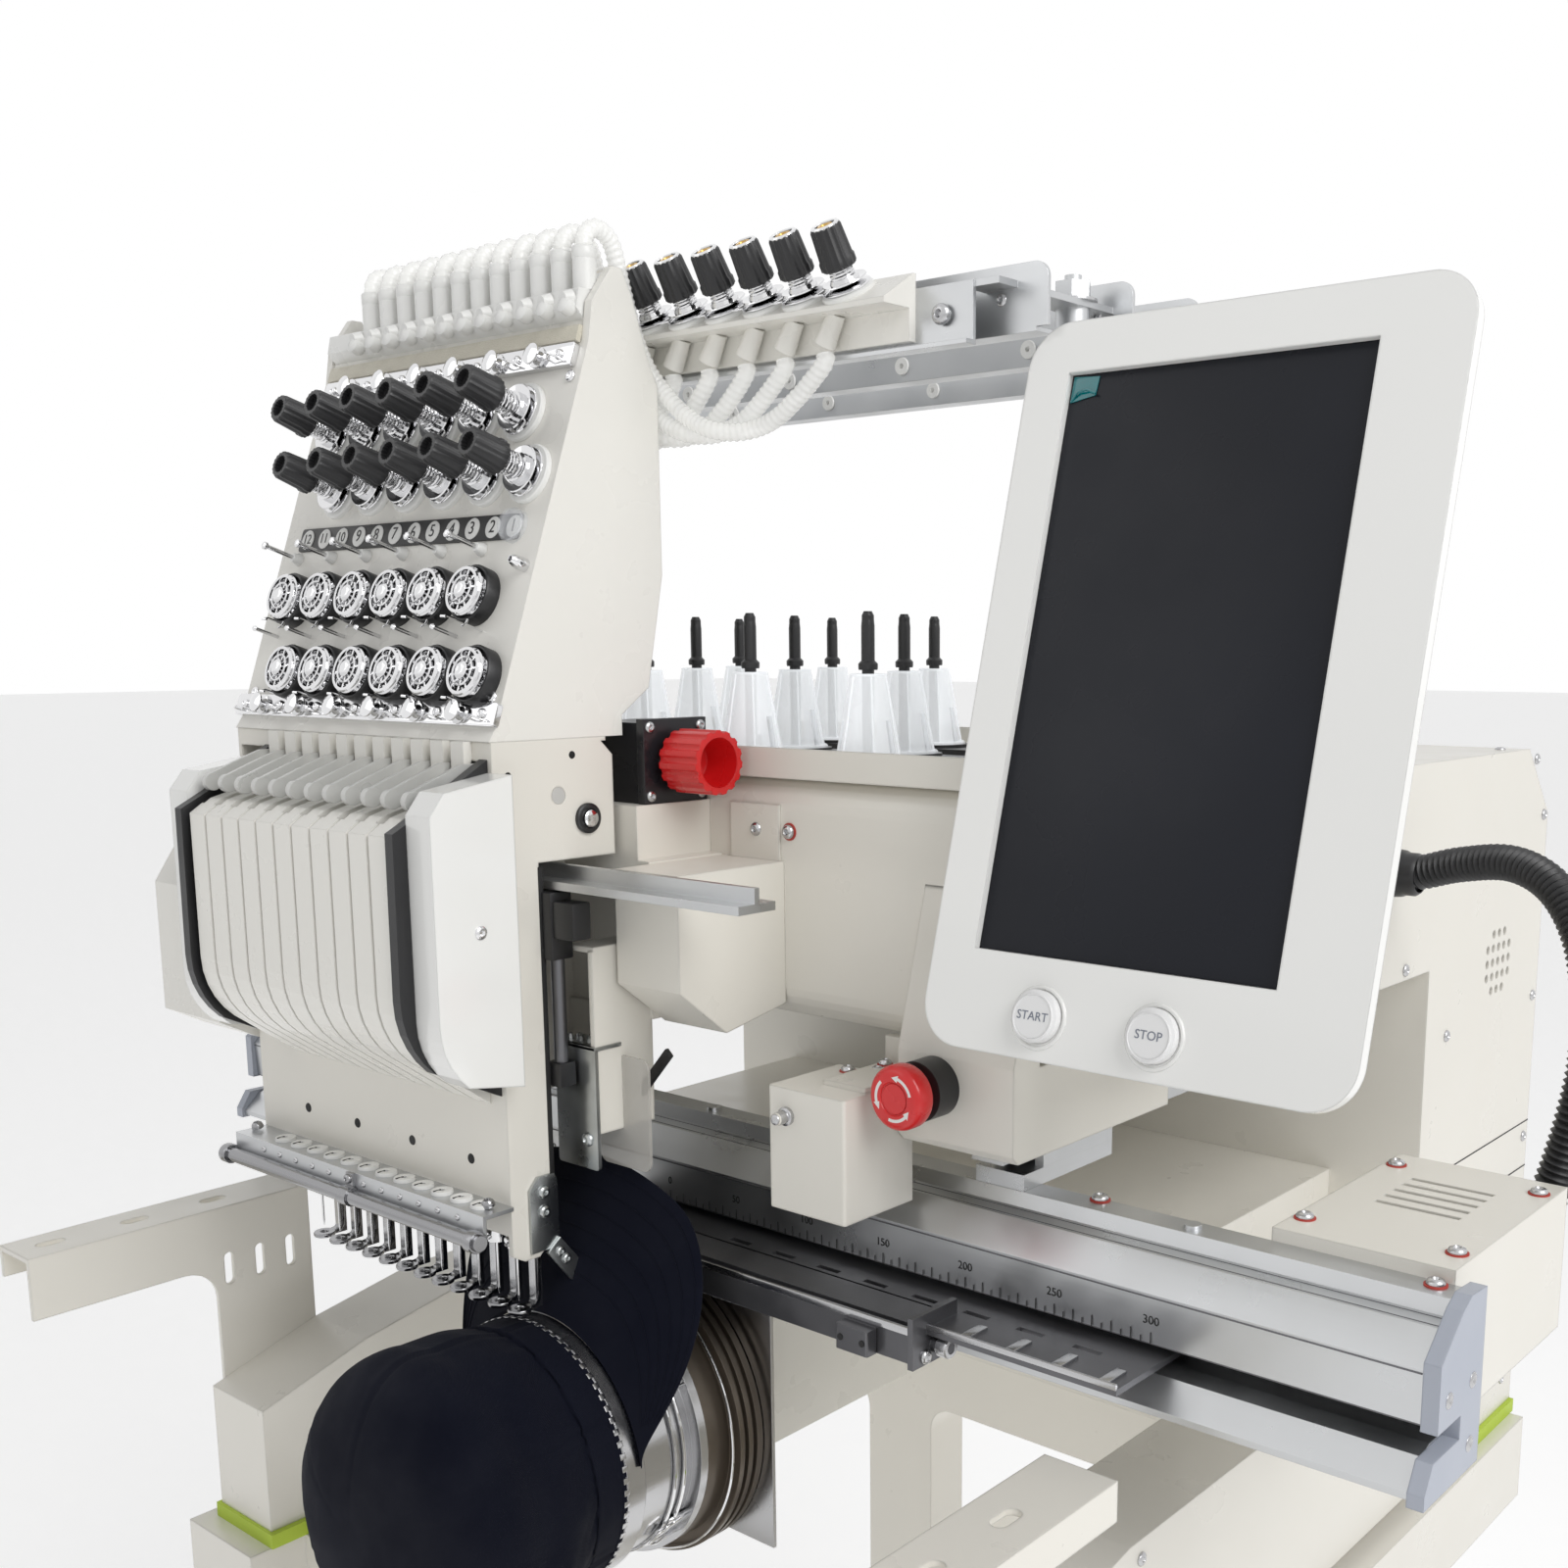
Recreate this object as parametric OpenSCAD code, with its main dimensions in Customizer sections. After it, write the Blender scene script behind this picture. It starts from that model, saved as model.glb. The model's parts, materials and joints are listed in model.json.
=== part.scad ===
// Twelve-needle single-head embroidery machine on its stand, cap frame fitted.
// Millimetres. +X to the operator's right, +Y to the rear, +Z up, floor at Z = 0.
// Working datum: needle 1 at X = 0, ruler face of the X beam at Y = 0, ruler line at Z = 0.

/* [Stand and base] */
// Height of the stand from the floor to the damping pads
stand_h = 650; // [560:10:760]
// Thickness of the green damping pads
pad_t = 9; // [6:1:14]
// Height of the ruler line above the underside of the base
base_drop = 221; // [215:1:235]
// Half width over the two side arms of the base
arm_half = 280; // [270:1:300]
// Width of one side arm
arm_w = 56; // [44:1:62]
// Width of the stand's side beams
post_w = 70; // [60:1:76]
// Height of the stand's top beams
beam_h = 58; // [48:1:64]
// Width of a stand leg
leg_w = 63; // [50:1:70]
// Depth of a stand leg
leg_d = 40; // [30:1:50]
// Distance of the stand legs from the middle
leg_in = 112; // [90:1:140]
// How far the side arms reach in front of the ruler face
arm_front = 120; // [110:1:135]
// Distance from the ruler face to the rear face of the housing
rear_y = 520; // [500:5:560]

/* [Housing and beam] */
// Height of the housing top above the ruler line
house_top = 231; // [225:1:240]
// Height of the portal roof above the ruler line
portal_top = 110; // [104:1:116]
// Front face of the head beam behind the ruler face
beam_y = 12; // [8:1:16]
// Start of the rear housing behind the ruler face
house_y = 218; // [212:1:226]

/* [Needle case] */
// Number of needles
needle_n = 12; // [6:1:12]
// Distance between needles
needle_pitch = 15.8; // [15.4:0.1:16.2]
// Needle line in front of the ruler face
needle_y = 102.5; // [101:0.5:104]
// Needle bar diameter
bar_d = 7; // [6:0.5:7.5]
// Stroke of the needle bar
needle_stroke = 30; // [24:1:30]
// Stroke of the presser foot
foot_stroke = 6; // [4:0.5:6]
// Running clearance on radius for bars, pins and hubs
run_gap = 0.05; // [0.03:0.01:0.08]
// Lean of the tension board from upright
board_lean = 19.3; // [16:0.1:22]
// Diameter of the tension knobs
knob_d = 17; // [14:0.5:18]
// Diameter of the spoked tension wheels
wheel_d = 22; // [18:0.5:24]

/* [Thread supply] */
// Number of spool rows
spool_rows = 3; // [2:1:3]
// Spools in one row
spool_cols = 4; // [3:1:4]
// Distance between spools in a row
spool_pitch = 80; // [74:1:84]
// Distance between rows
row_pitch = 76; // [70:1:78]
// Height of a spool cone
cone_h = 45; // [40:1:50]
// Diameter of the cone foot
cone_d = 34; // [30:1:38]
// Height of the thread plates above the ruler line
tree_z = 455; // [445:1:470]
// Spacing of the upper tension units
upper_pitch = 25.4; // [25:0.1:27]

/* [Frame drive] */
// Half length of the X beam without its end caps
rail_half = 421; // [400:1:440]
// Thickness of one end cap
cap_t = 7; // [5:0.5:9]
// Depth of the X beam
rail_depth = 42; // [40:1:44]

/* [Cap driver] */
// Height of the cap axis below the ruler line
cap_drop = 106; // [104:1:108]
// Outer radius of the driver ring
ring_r = 80; // [78:0.5:81]
// Bore radius of the driver ring
ring_bore = 66; // [64:0.5:67]
// Outer radius of the toothed cap strap
strap_r = 69; // [67:0.5:69]
// Depth of the cap crown
crown_h = 104; // [95:1:112]

/* [Control panel] */
// Width of the panel
panel_w = 200; // [190:1:210]
// Height of the panel
panel_h = 316; // [300:1:325]
// Thickness of the panel
panel_t = 25; // [22:1:27]
// Lean of the panel from upright
panel_lean = 15; // [10:0.5:18]
// Corner radius of the panel
panel_r = 20; // [12:1:26]
// Button diameter
button_d = 22; // [18:0.5:24]
// Travel of a button
button_travel = 2; // [1:0.5:3]

/* [Hidden] */
$fn = 48;

cream = [0.90, 0.89, 0.84];
silver = [0.75, 0.76, 0.78];
dark = [0.12, 0.12, 0.13];

// Frame: the origin is under the middle of the whole machine
bracket_front = 218;
mid_y = (rear_y - bracket_front) / 2;
rail_z = stand_h + pad_t + base_drop;
// The housing and the head beam are as wide as the base
house_half = arm_half;
base_z = -base_drop;
floor_z = -rail_z;

module datum() {
    translate([0, -mid_y, rail_z]) children();
}

// A block given by its lowest and highest corner along each axis
module slab(x, y, z) {
    translate([x[0], y[0], z[0]]) cube([x[1] - x[0], y[1] - y[0], z[1] - z[0]]);
}

// A block with its four edges along Z rounded
module round_slab(x, y, z, r) {
    slab([x[0] + r, x[1] - r], y, z);
    slab(x, [y[0] + r, y[1] - r], z);
    for (cx = [x[0] + r, x[1] - r], cy = [y[0] + r, y[1] - r])
        translate([cx, cy, z[0]]) cylinder(r = r, h = z[1] - z[0]);
}

// A flat profile drawn as [Y, Z] points, extruded along X between two places
module side_profile(points, x) {
    translate([x[0], 0, 0]) rotate([90, 0, 90]) linear_extrude(x[1] - x[0]) polygon(points);
}

// A round bar along X, Y or Z
module bar_x(r, x, y, z) { translate([x[0], y, z]) rotate([0, 90, 0]) cylinder(r = r, h = x[1] - x[0]); }
module bar_y(r, x, y, z) { translate([x, y[0], z]) rotate([-90, 0, 0]) cylinder(r = r, h = y[1] - y[0]); }
module bar_z(r, x, y, z) { translate([x, y, z[0]]) cylinder(r = r, h = z[1] - z[0]); }

// Points on an arc in a flat profile
function arc(c, r, a0, a1, n) = [for (i = [0 : n]) let (a = a0 + (a1 - a0) * i / n) c + r * [cos(a), sin(a)]];

module both_sides() {
    children();
    mirror([1, 0, 0]) children();
}

// ---- Stand ----
arm_in = arm_half - arm_w;
post_out = arm_half + 12;
post_in = post_out - post_w;
post_front = -arm_front - 15;
post_rear = rear_y - 5;
stand_top = base_z - pad_t;
leg_y = [-arm_front + 20, house_y + 147];
leg_fillet = 20;
foot_h = 50;
foot_beam = 50;
foot_pad_r = 30;
foot_x = leg_in + leg_w / 2;
foot_y = [post_front + 35, post_rear - 35];

module stand_frame() color(cream) datum() {
    under = stand_top - beam_h;
    both_sides() {
        slab([post_in, post_out], [post_front, post_rear], [under, stand_top]);
        slab([leg_in, leg_in + leg_w], [post_front, post_rear], [floor_z + foot_h, floor_z + foot_h + foot_beam]);
        for (y = leg_y) {
            slab([leg_in, leg_in + leg_w], [y, y + leg_d], [floor_z + foot_h, stand_top]);
            // The leg flares into the beam above it
            difference() {
                slab([leg_in - leg_fillet, leg_in + leg_w + leg_fillet], [y, y + leg_d], [under - leg_fillet, under + 1]);
                for (x = [leg_in - leg_fillet, leg_in + leg_w + leg_fillet])
                    bar_y(leg_fillet, x, [y - 1, y + leg_d + 1], under - leg_fillet);
            }
        }
    }
    for (y = leg_y) slab([-post_in, post_in], [y, y + leg_d], [under, stand_top]);
    slab([-leg_in, leg_in], [leg_y[1], leg_y[1] + leg_d], [floor_z + foot_h, floor_z + foot_h + foot_beam]);
}

module leveling_feet() color(dark) datum() {
    both_sides() for (y = foot_y) translate([foot_x, y, floor_z]) {
        cylinder(r = foot_pad_r, h = 12);
        translate([0, 0, 12]) cylinder(r1 = foot_pad_r - 4, r2 = 12, h = 12);
        cylinder(r = 8, h = foot_h);
        translate([0, 0, foot_h - 12]) cylinder(d = 26, h = 12, $fn = 6);
    }
}

module damping_pads() color([0.6, 0.8, 0.2]) datum() {
    both_sides() for (y = [[-arm_front - 2, -arm_front + 88], [rear_y - 90, rear_y + 0]])
        slab([arm_in - 4, arm_half + 3], y, [stand_top, base_z]);
}

// ---- Base ----
arm_nose_z = -145;
arm_top_z = -110;
arm_rise_y = 20;
deck_y = 160;
deck_top = -20;

module base_arms() color(cream) datum() {
    both_sides() side_profile(concat(
        [[-arm_front, base_z], [-arm_front, arm_nose_z], [-arm_front + 70, arm_nose_z + 22]],
        [[arm_rise_y, arm_top_z], [deck_y, arm_top_z], [house_y, arm_top_z]],
        [[house_y + 100, arm_top_z + 30], [house_y + 117, -52], [rear_y, -52], [rear_y, base_z]]),
        [arm_in, arm_half]);
}

module base_deck() color(cream) datum()
    side_profile([[deck_y, arm_top_z], [deck_y, deck_top], [house_y + 117, deck_top],
        [house_y + 117, house_floor], [rear_y, house_floor], [rear_y, base_z], [house_y + 117, base_z],
        [house_y + 117, arm_top_z]], [-arm_in, arm_in]);

// ---- Cylinder bed ----
bed_half = 32;
plate_top = -50;
plate_h = 3;
bed_front = -needle_y - 15;
nose_half = 9;
nose_y = [-needle_y - 10, -needle_y + 3.5];
bed_r = ring_bore - 14;
bed_low = 42;
hook_y = -needle_y + 14;
hook_r = 17;
hook_z = plate_top - plate_h - hook_r - 4.5;

module bed_section(shrink = 0) {
    translate([0, -cap_drop]) intersection() {
        circle(r = bed_r - shrink);
        translate([-bed_half + shrink, -bed_low + shrink]) square([2 * (bed_half - shrink), bed_low + bed_r - 2 * shrink]);
    }
}

module cylinder_bed() color(cream) datum() {
    difference() {
        union() {
            translate([0, deck_y, 0]) rotate([90, 0, 0]) linear_extrude(deck_y - bed_front) bed_section();
            slab([-nose_half, nose_half], nose_y, [-cap_drop, plate_top - plate_h]);
        }
        // Hook chamber, open at the front, and the needle's way into it
        bar_y(hook_r + 1.5, 0, [bed_front - 1, hook_y + 8], hook_z);
        slab([-hook_r - 1.5, hook_r + 1.5], [bed_front - 1, hook_y + 8], [hook_z - 20, hook_z]);
        bar_z(2.2, 0, -needle_y, [hook_z, plate_top]);
        bar_y(shaft_r + run_gap, 0, [hook_y, hook_y + 62], hook_z);
    }
}

module needle_plate() color(silver) datum() {
    difference() {
        slab([-nose_half, nose_half], nose_y, [plate_top - plate_h, plate_top]);
        bar_z(1.3, 0, -needle_y, [plate_top - plate_h - 1, plate_top + 1]);
    }
}

shaft_r = 6;
module rotary_hook() color(silver) datum() difference() {
    translate([0, hook_y + 2, hook_z]) rotate([90, 0, 0]) rotate_extrude() polygon([[0, -58], [shaft_r, -58],
        [shaft_r, 0], [hook_r, 0], [hook_r, 14], [hook_r - 3, 14], [hook_r - 3, 4], [hook_r - 5, 4],
        [hook_r - 5, 13], [0, 13]]);
    slab([hook_r - 4, hook_r + 2], [hook_y - 14, hook_y - 6], [hook_z - 4, hook_z + 9]);
}

// ---- Table brackets ----
bracket_t = 3;
bracket_top = -36;
bracket_out = 36;
bracket_lip = 36;
bracket_back = -50;
slot_y = -150;
slot_step = 48;
slot_l = 8;
slot_w = 8;

module slot_z(l, w, h) {
    cylinder(d = w, h = h);
    translate([0, l, 0]) cylinder(d = w, h = h);
    translate([-w / 2, 0, 0]) cube([w, l, h]);
}

module table_brackets() color(cream) datum() {
    both_sides() difference() {
        union() {
            // Web against the arm, with its radiused step
            side_profile(concat([[-bracket_front, bracket_top], [bracket_back, bracket_top],
                [bracket_back, -185], [-arm_front + 8, -185]],
                arc([-arm_front - 12, bracket_top - bracket_lip - 20], 20, 0, 90, 6),
                [[-bracket_front, bracket_top - bracket_lip]]), [arm_half, arm_half + bracket_t]);
            slab([arm_half, arm_half + bracket_out], [-bracket_front, bracket_back], [bracket_top - bracket_t, bracket_top]);
            slab([arm_half + bracket_out - bracket_t, arm_half + bracket_out], [-bracket_front, bracket_back],
                 [bracket_top - 18, bracket_top]);
        }
        for (i = [0 : 2])
            translate([arm_half + bracket_out / 2, slot_y + slot_step * (i - 1) - slot_l / 2, bracket_top - 5])
                slot_z(slot_l, slot_w, 10);
        for (y = [-104, -84, -64])
            translate([arm_half - 1, y, -82]) rotate([90, 0, 90]) slot_z(14, 6, bracket_t + 2);
    }
}

// ---- Rear housing and beam ----
house_back_z = 188;
house_floor = -52;

module rear_housing() color(cream) datum() {
    difference() {
        side_profile([[house_y, portal_top], [house_y, house_top], [rear_y - 41, house_top], [rear_y, house_back_z],
            [rear_y, house_floor], [house_y + 117, house_floor], [house_y + 117, portal_top]],
            [-house_half, house_half]);
        // Vent holes in a diamond on both sides
        for (i = [-2 : 2], j = [-2 : 2]) if (abs(i) + abs(j) < 4)
            bar_x(2.6, [house_half - 3, house_half + 1], rear_y - 75 + 9 * i, 100 + 9 * j);
    }
}

beam_bottom = portal_top;
module head_beam() color(cream) datum() {
    r = 16;
    side_profile(concat(
        arc([beam_y + r, house_top - r], r, 180, 90, 6),
        [[house_y, house_top], [house_y, beam_bottom]],
        arc([beam_y + r, beam_bottom + r], r, -90, -180, 6)),
        [-house_half, house_half]);
}

// Housing that carries the panel, in front of and under the beam
ph_x = [166, 232];
ph_y = [-8, 125];
ph_z = [68, 215];
ph_bend = 112;
ear_t = 5;
pin_r = 2.5;
module panel_housing() color(cream) datum() {
    difference() {
        union() {
            side_profile([[beam_y, ph_z[0]], [ph_y[0] + 4, ph_z[0]], [ph_y[0], ph_z[0] + 4], [ph_y[0], ph_bend],
                [beam_y, ph_bend + (beam_y - ph_y[0]) / tan(panel_lean)]], ph_x);
            slab(ph_x, [beam_y, ph_y[1]], [ph_z[0], beam_bottom]);
            // Hinge ears that carry the panel, with their pin
            for (x = [hinge_x[0], hinge_x[1] - ear_t]) side_profile([[ph_y[0] + 1, hinge_z - 16],
                [hinge_y - 3.8, hinge_z - 3], [hinge_y - 3.8, hinge_z + 3], [ph_y[0] + 9, hinge_z + 14]], [x, x + ear_t]);
            bar_x(pin_r, hinge_x, hinge_y, hinge_z);
        }
        bar_y(8.05, stop_x, [ph_y[0] - 1, ph_y[0] + 12], stop_z);
    }
}

// ---- Emergency stop ----
stop_x = 188;
stop_z = 98;
module stop_base() color(dark) datum() {
    difference() {
        bar_y(14, stop_x, [ph_y[0] - 14, ph_y[0]], stop_z);
        bar_y(5 + run_gap, stop_x, [ph_y[0] - 15, ph_y[0] + 1], stop_z);
    }
    difference() {
        bar_y(8, stop_x, [ph_y[0], ph_y[0] + 11], stop_z);
        bar_y(5 + run_gap, stop_x, [ph_y[0] - 1, ph_y[0] + 12], stop_z);
    }
}
module stop_head() color("red") datum() {
    translate([stop_x, ph_y[0] - 19, stop_z]) rotate([90, 0, 0]) {
        cylinder(r = 15, h = 8);
        translate([0, 0, 8]) cylinder(r1 = 15, r2 = 12, h = 3);
        translate([0, 0, -24]) cylinder(r = 5, h = 24);
    }
}

// ---- Head arm ----
head_half = 32;
head_front = -38;
module head_arm() color(cream) datum() {
    slab([-head_half, head_half], [head_front, beam_y], [beam_bottom + 2, guide_z + 10]);
    slab([-motor_x - 1, motor_x + 1], [head_front, beam_y], [guide_z + 10, motor_z[0]]);
    // Lower nose with the presser drive brackets
    slab([13, 30], [-73, head_front + 1], [150, 153]);
    slab([27, 30], [-74, head_front + 1], [60, 151]);
    slab([-head_half, -head_half + 3], [-60, head_front + 1], [70, 150]);
    slab([-head_half, 29], [head_front - 3, head_front + 2], [66, beam_bottom + 6]);
}

cover_x = 76;
cover_y = -60;
cover_z = [112, 190];
limit_x = [ph_x[0] - 48, ph_x[0] - 0.8];
limit_y = [-45, 4.5];
limit_z = [35.5, 94.5];
module arm_covers() color(cream) datum() {
    for (side = [1, -1]) scale([side, 1, 1]) {
        side_profile([[cover_y, cover_z[1]], [beam_y, cover_z[1]], [beam_y, cover_z[0] + 6],
            [cover_y + 30, cover_z[0] - 2], [cover_y, cover_z[0] + 22]], [head_half, cover_x]);
        slab([head_half + 8, cover_x - 2], [beam_y - 1.5, beam_y], [cover_z[1], cover_z[1] + 28]);
    }
    // Limit switch cover under the beam, with its bracket and socket screw
    round_slab(limit_x, limit_y, limit_z, 1.5);
    slab([limit_x[0] + 20, limit_x[1] - 1], [limit_y[0] + 16, beam_y + 20], [limit_z[1], limit_z[1] + 2.5]);
    slab([limit_x[0] + 20, limit_x[1] - 1], [beam_y + 4, beam_y + 8], [limit_z[1] + 2, beam_bottom]);
    bar_y(3, limit_x[0] + 12, [limit_y[0] - 8, limit_y[0]], limit_z[1] - 13);
}

// ---- Guides on the fixed head and the frame ----
guide_half = 140;
guide_y = [-84, -61];
guide_z = 181;
yg_x = 200;
yg_z = 58;
module linear_guides() color(silver) datum() {
    slab([-guide_half, guide_half], guide_y, [guide_z, guide_z + 4]);
    slab([-guide_half, guide_half], [-74, -71], [guide_z + 4, guide_z + 11]);
    slab([-head_half, head_half], [guide_y[1], head_front], [guide_z, guide_z + 4]);
    both_sides() {
        slab([yg_x - 9, yg_x + 9], [beam_y + 4, house_y + 100], [yg_z, yg_z + 8]);
        slab([yg_x - 3, yg_x + 3], [ph_y[1], house_y + 100], [yg_z + 8, beam_bottom]);
    }
    slab([yg_x - 3, yg_x + 3], [beam_y + 4, ph_y[1]], [yg_z + 8, ph_z[0]]);
    slab([-yg_x - 3, -yg_x + 3], [beam_y + 4, ph_y[1]], [yg_z + 8, beam_bottom]);
}

// ---- Colour change ----
motor_x = 23;
motor_y = [beam_y - 43, beam_y - 1];
motor_z = [218, 260];
knob_c = [(motor_y[0] + motor_y[1]) / 2, (motor_z[0] + motor_z[1]) / 2];
module color_motor() color(dark) datum() {
    difference() {
        union() {
            slab([motor_x - 5, motor_x], motor_y, motor_z);
            slab([motor_x - 44, motor_x - 5], [motor_y[0] + 2, motor_y[1] - 1], [motor_z[0], motor_z[1] - 2]);
        }
        bar_x(4 + run_gap, [motor_x - 20, motor_x + 1], knob_c[0], knob_c[1]);
    }
}

knob_r = 16;
module color_knob() color("red") datum() {
    translate([motor_x + 5, knob_c[0], knob_c[1]]) rotate([0, 90, 0]) {
        difference() {
            cylinder(r = knob_r, h = 26);
            for (i = [0 : 14]) rotate(i * 24) translate([knob_r + 1, 0, -1]) cylinder(r = 2.2, h = 30);
            translate([0, 0, 8]) cylinder(r1 = 9, r2 = 12.5, h = 19);
        }
        translate([0, 0, -22]) cylinder(r = 4, h = 23);
    }
}

// ---- Thread supply ----
tray_half = 207;
tray_y = [beam_y, beam_y + 222];
tray_lip = 15;
tray_t = 2;
spool_z = house_top + tray_t;
function spool_x(row, col) = (row % 2 == 1 ? -89 : -129) + col * spool_pitch;
function spool_y(row) = beam_y + 24 + row * row_pitch;

module spool_tray() color(cream) datum() {
    slab([-tray_half, tray_half], tray_y, [house_top, spool_z]);
    slab([-tray_half, tray_half], [tray_y[0], tray_y[0] + tray_t], [house_top, house_top + tray_lip]);
    slab([-tray_half, tray_half], [tray_y[1] - tray_t, tray_y[1]], [house_top, house_top + tray_lip]);
    both_sides() slab([tray_half - tray_t, tray_half], tray_y, [house_top, house_top + tray_lip]);
}

module spool_pins() color(dark) datum() {
    for (row = [0 : spool_rows - 1]) {
        slab([spool_x(row, 0) - 22, spool_x(row, spool_cols - 1) + 22], [spool_y(row) - 20, spool_y(row) + 20],
             [spool_z, spool_z + 4]);
        for (col = [0 : spool_cols - 1]) translate([spool_x(row, col), spool_y(row), spool_z + 4]) {
            cylinder(d = 6, h = cone_h + 28);
            translate([0, 0, cone_h + 28]) cylinder(d1 = 6, d2 = 4, h = 2);
        }
    }
}

module spool_cones() color([0.9, 0.93, 0.97, 0.6]) datum() {
    for (row = [0 : spool_rows - 1], col = [0 : spool_cols - 1])
        translate([spool_x(row, col), spool_y(row), spool_z + 4]) difference() {
            cylinder(d1 = cone_d, d2 = 18, h = cone_h);
            translate([0, 0, -0.01]) cylinder(d1 = cone_d - 4, d2 = 14, h = cone_h - 2);
            cylinder(d = 6 + 2 * run_gap, h = cone_h + 1);
            for (a = [0, 120, 240]) rotate(a) translate([6, -2, -1]) cube([20, 4, 24]);
        }
}

tree_x = tray_half - 17;
front_y = 20;
tree_post_y = 91;
strip_top = tree_z - 3;
plate_low = tree_z - 23;
// Half length and height of the three eyelet plates, from the front one to the rear one
plate_out = [tray_half + 8, tray_half + 3, tray_half - 6];
plate_hi = [tree_z + 4, tree_z + 8, tree_z + 13];
plate_r = 7;
module thread_tree() color(silver) datum() {
    both_sides() {
        bar_z(8, tree_x, tree_post_y, [spool_z, strip_top - 1]);
        bar_z(12, tree_x, tree_post_y, [spool_z, spool_z + 8]);
        slab([tree_x - 9, tree_x + 9], [front_y + 1, spool_y(2) + 12], [strip_top - 3, strip_top]);
        translate([tree_x, tree_post_y, strip_top]) cylinder(r = 9, h = 9, $fn = 6);
        bar_z(4, tree_x, tree_post_y, [strip_top + 9, strip_top + 12]);
    }
    for (row = [0 : 2]) difference() {
        y = [spool_y(row) - 1, spool_y(row) + 1];
        union() {
            slab([-plate_out[row], plate_out[row]], y, [plate_low, plate_hi[row] - plate_r]);
            slab([-plate_out[row] + plate_r, plate_out[row] - plate_r], y, [plate_low, plate_hi[row]]);
            for (x = [plate_r - plate_out[row], plate_out[row] - plate_r]) bar_y(plate_r, x, y, plate_hi[row] - plate_r);
            slab([-plate_out[row] + 6, plate_out[row] - 6], [y[0], y[0] + 13], [plate_low - 2, plate_low]);
        }
        for (col = [0 : 3], z = [plate_low + 6, plate_hi[row] - 7])
            bar_y(2.5, spool_x(row, col), [y[0] - 1, y[1] + 1], z);
    }
    // Front channel that carries the upper tension units
    slab([-bar_out, bar_out], [front_y, front_y + 2], [seat_z - 25, seat_z]);
    slab([-bar_out, bar_out], [front_y - 5, front_y + 2], [seat_z - 27, seat_z - 25]);
    bar_y(3.6, bar_out - 16, [front_y - 1.6, front_y], seat_z - 13);
}

upper_first = 125;
function upper_x(i) = upper_first - i * upper_pitch;
upper_x_end = [upper_x(needle_n - 1) - 14, upper_first + 29];
upper_lean = 32;
seat_y = 8;
seat_z = 452;
bar_out = tree_x - 4;
// Each tube leaves a white socket that leans towards the head
socket_at = [-9, 9.5, 443];
socket_l = 14;
socket_lean = 30;
tube_from = [socket_at[0] - socket_l * sin(socket_lean), socket_at[2] - socket_l * cos(socket_lean)];
module upper_tension_bar() color(cream) datum() {
    dy = 12 * cos(upper_lean);
    dz = 12 * sin(upper_lean);
    side_profile([[seat_y - dy, seat_z - dz], [seat_y + dy, seat_z + dz], [front_y, seat_z + dz],
        [front_y, seat_z - 23], [front_y - 4.7, seat_z - 23], [front_y - 4.7, seat_z - 9],
        [seat_y - dy, seat_z - 9]], upper_x_end);
    for (i = [0 : needle_n - 1]) translate([upper_x(i) + socket_at[0], socket_at[1], socket_at[2] + 1])
        rotate([0, 180 + socket_lean, 0]) cylinder(r1 = 4.2, r2 = 5.2, h = socket_l + 1);
}
module on_upper() {
    translate([0, seat_y, seat_z]) rotate([upper_lean, 0, 0]) children();
}
module upper_tension_units() color(dark) datum() {
    for (i = [0 : needle_n - 1]) translate([upper_x(i), 0, 0]) on_upper() {
        cylinder(r = 10.5, h = 2);
        cylinder(r = 3, h = 24);
        translate([0, 0, 2]) cylinder(r = 9, h = 2);
        translate([0, 0, 4]) cylinder(r = 5.5, h = 8);
        translate([0, 0, 12]) cylinder(d1 = knob_d - 1, d2 = knob_d - 3, h = 15);
    }
}

// Thread tubes: each hangs from its socket under the upper bar and ends in its socket on the comb
comb_y = -39;
comb_z = 478;
// Points along a tube: Y, Z, and how far it has come across from its unit to its needle
tube_yz = [[socket_at[1], tube_from[1] - 3.7, 0], [socket_at[1], tube_from[1] - 6.5, 0],
    [socket_at[1], 419, 0.05], [socket_at[1], 410, 0.16],
    [9.3, 402, 0.28], [8.8, 398, 0.4], [4.5, 396.5, 0.5], [0.3, 398, 0.6], [0, 403, 0.72], [0, 411, 0.83],
    [0.2, 420, 0.92], [-3, 430, 0.98], [-8.5, 444, 1], [-13.5, 458, 1], [-18, 473, 1], [-22, 485, 1],
    [-29, 491.5, 1], [-36, 490.5, 1], [comb_y, 484, 1], [comb_y, comb_z + 0.4, 1]];
tube_sides = 8;
tube_r = 4.4;
function needle_x(i) = -i * needle_pitch;
function tube_point(i, p) = [(upper_x(i) + tube_from[0]) * (1 - p[2]) + needle_x(i) * p[2], p[0], p[1]];
module tube(points, r, n) {
    k = len(points);
    dirs = [for (i = [0 : k - 1]) let (d = points[min(i + 1, k - 1)] - points[max(i - 1, 0)]) d / norm(d)];
    side = [for (d = dirs) let (c = cross(d, [0.2, 1, 0.1])) c / norm(c)];
    verts = [for (i = [0 : k - 1], j = [0 : n - 1])
        points[i] + r * (cos(360 * j / n) * side[i] + sin(360 * j / n) * cross(dirs[i], side[i]))];
    faces = concat(
        [[for (j = [0 : n - 1]) j]],
        [[for (j = [n - 1 : -1 : 0]) (k - 1) * n + j]],
        [for (i = [0 : k - 2], j = [0 : n - 1]) [i * n + j, (i + 1) * n + j, (i + 1) * n + (j + 1) % n]],
        [for (i = [0 : k - 2], j = [0 : n - 1]) [i * n + j, (i + 1) * n + (j + 1) % n, i * n + (j + 1) % n]]);
    polyhedron(verts, faces);
}
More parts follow.
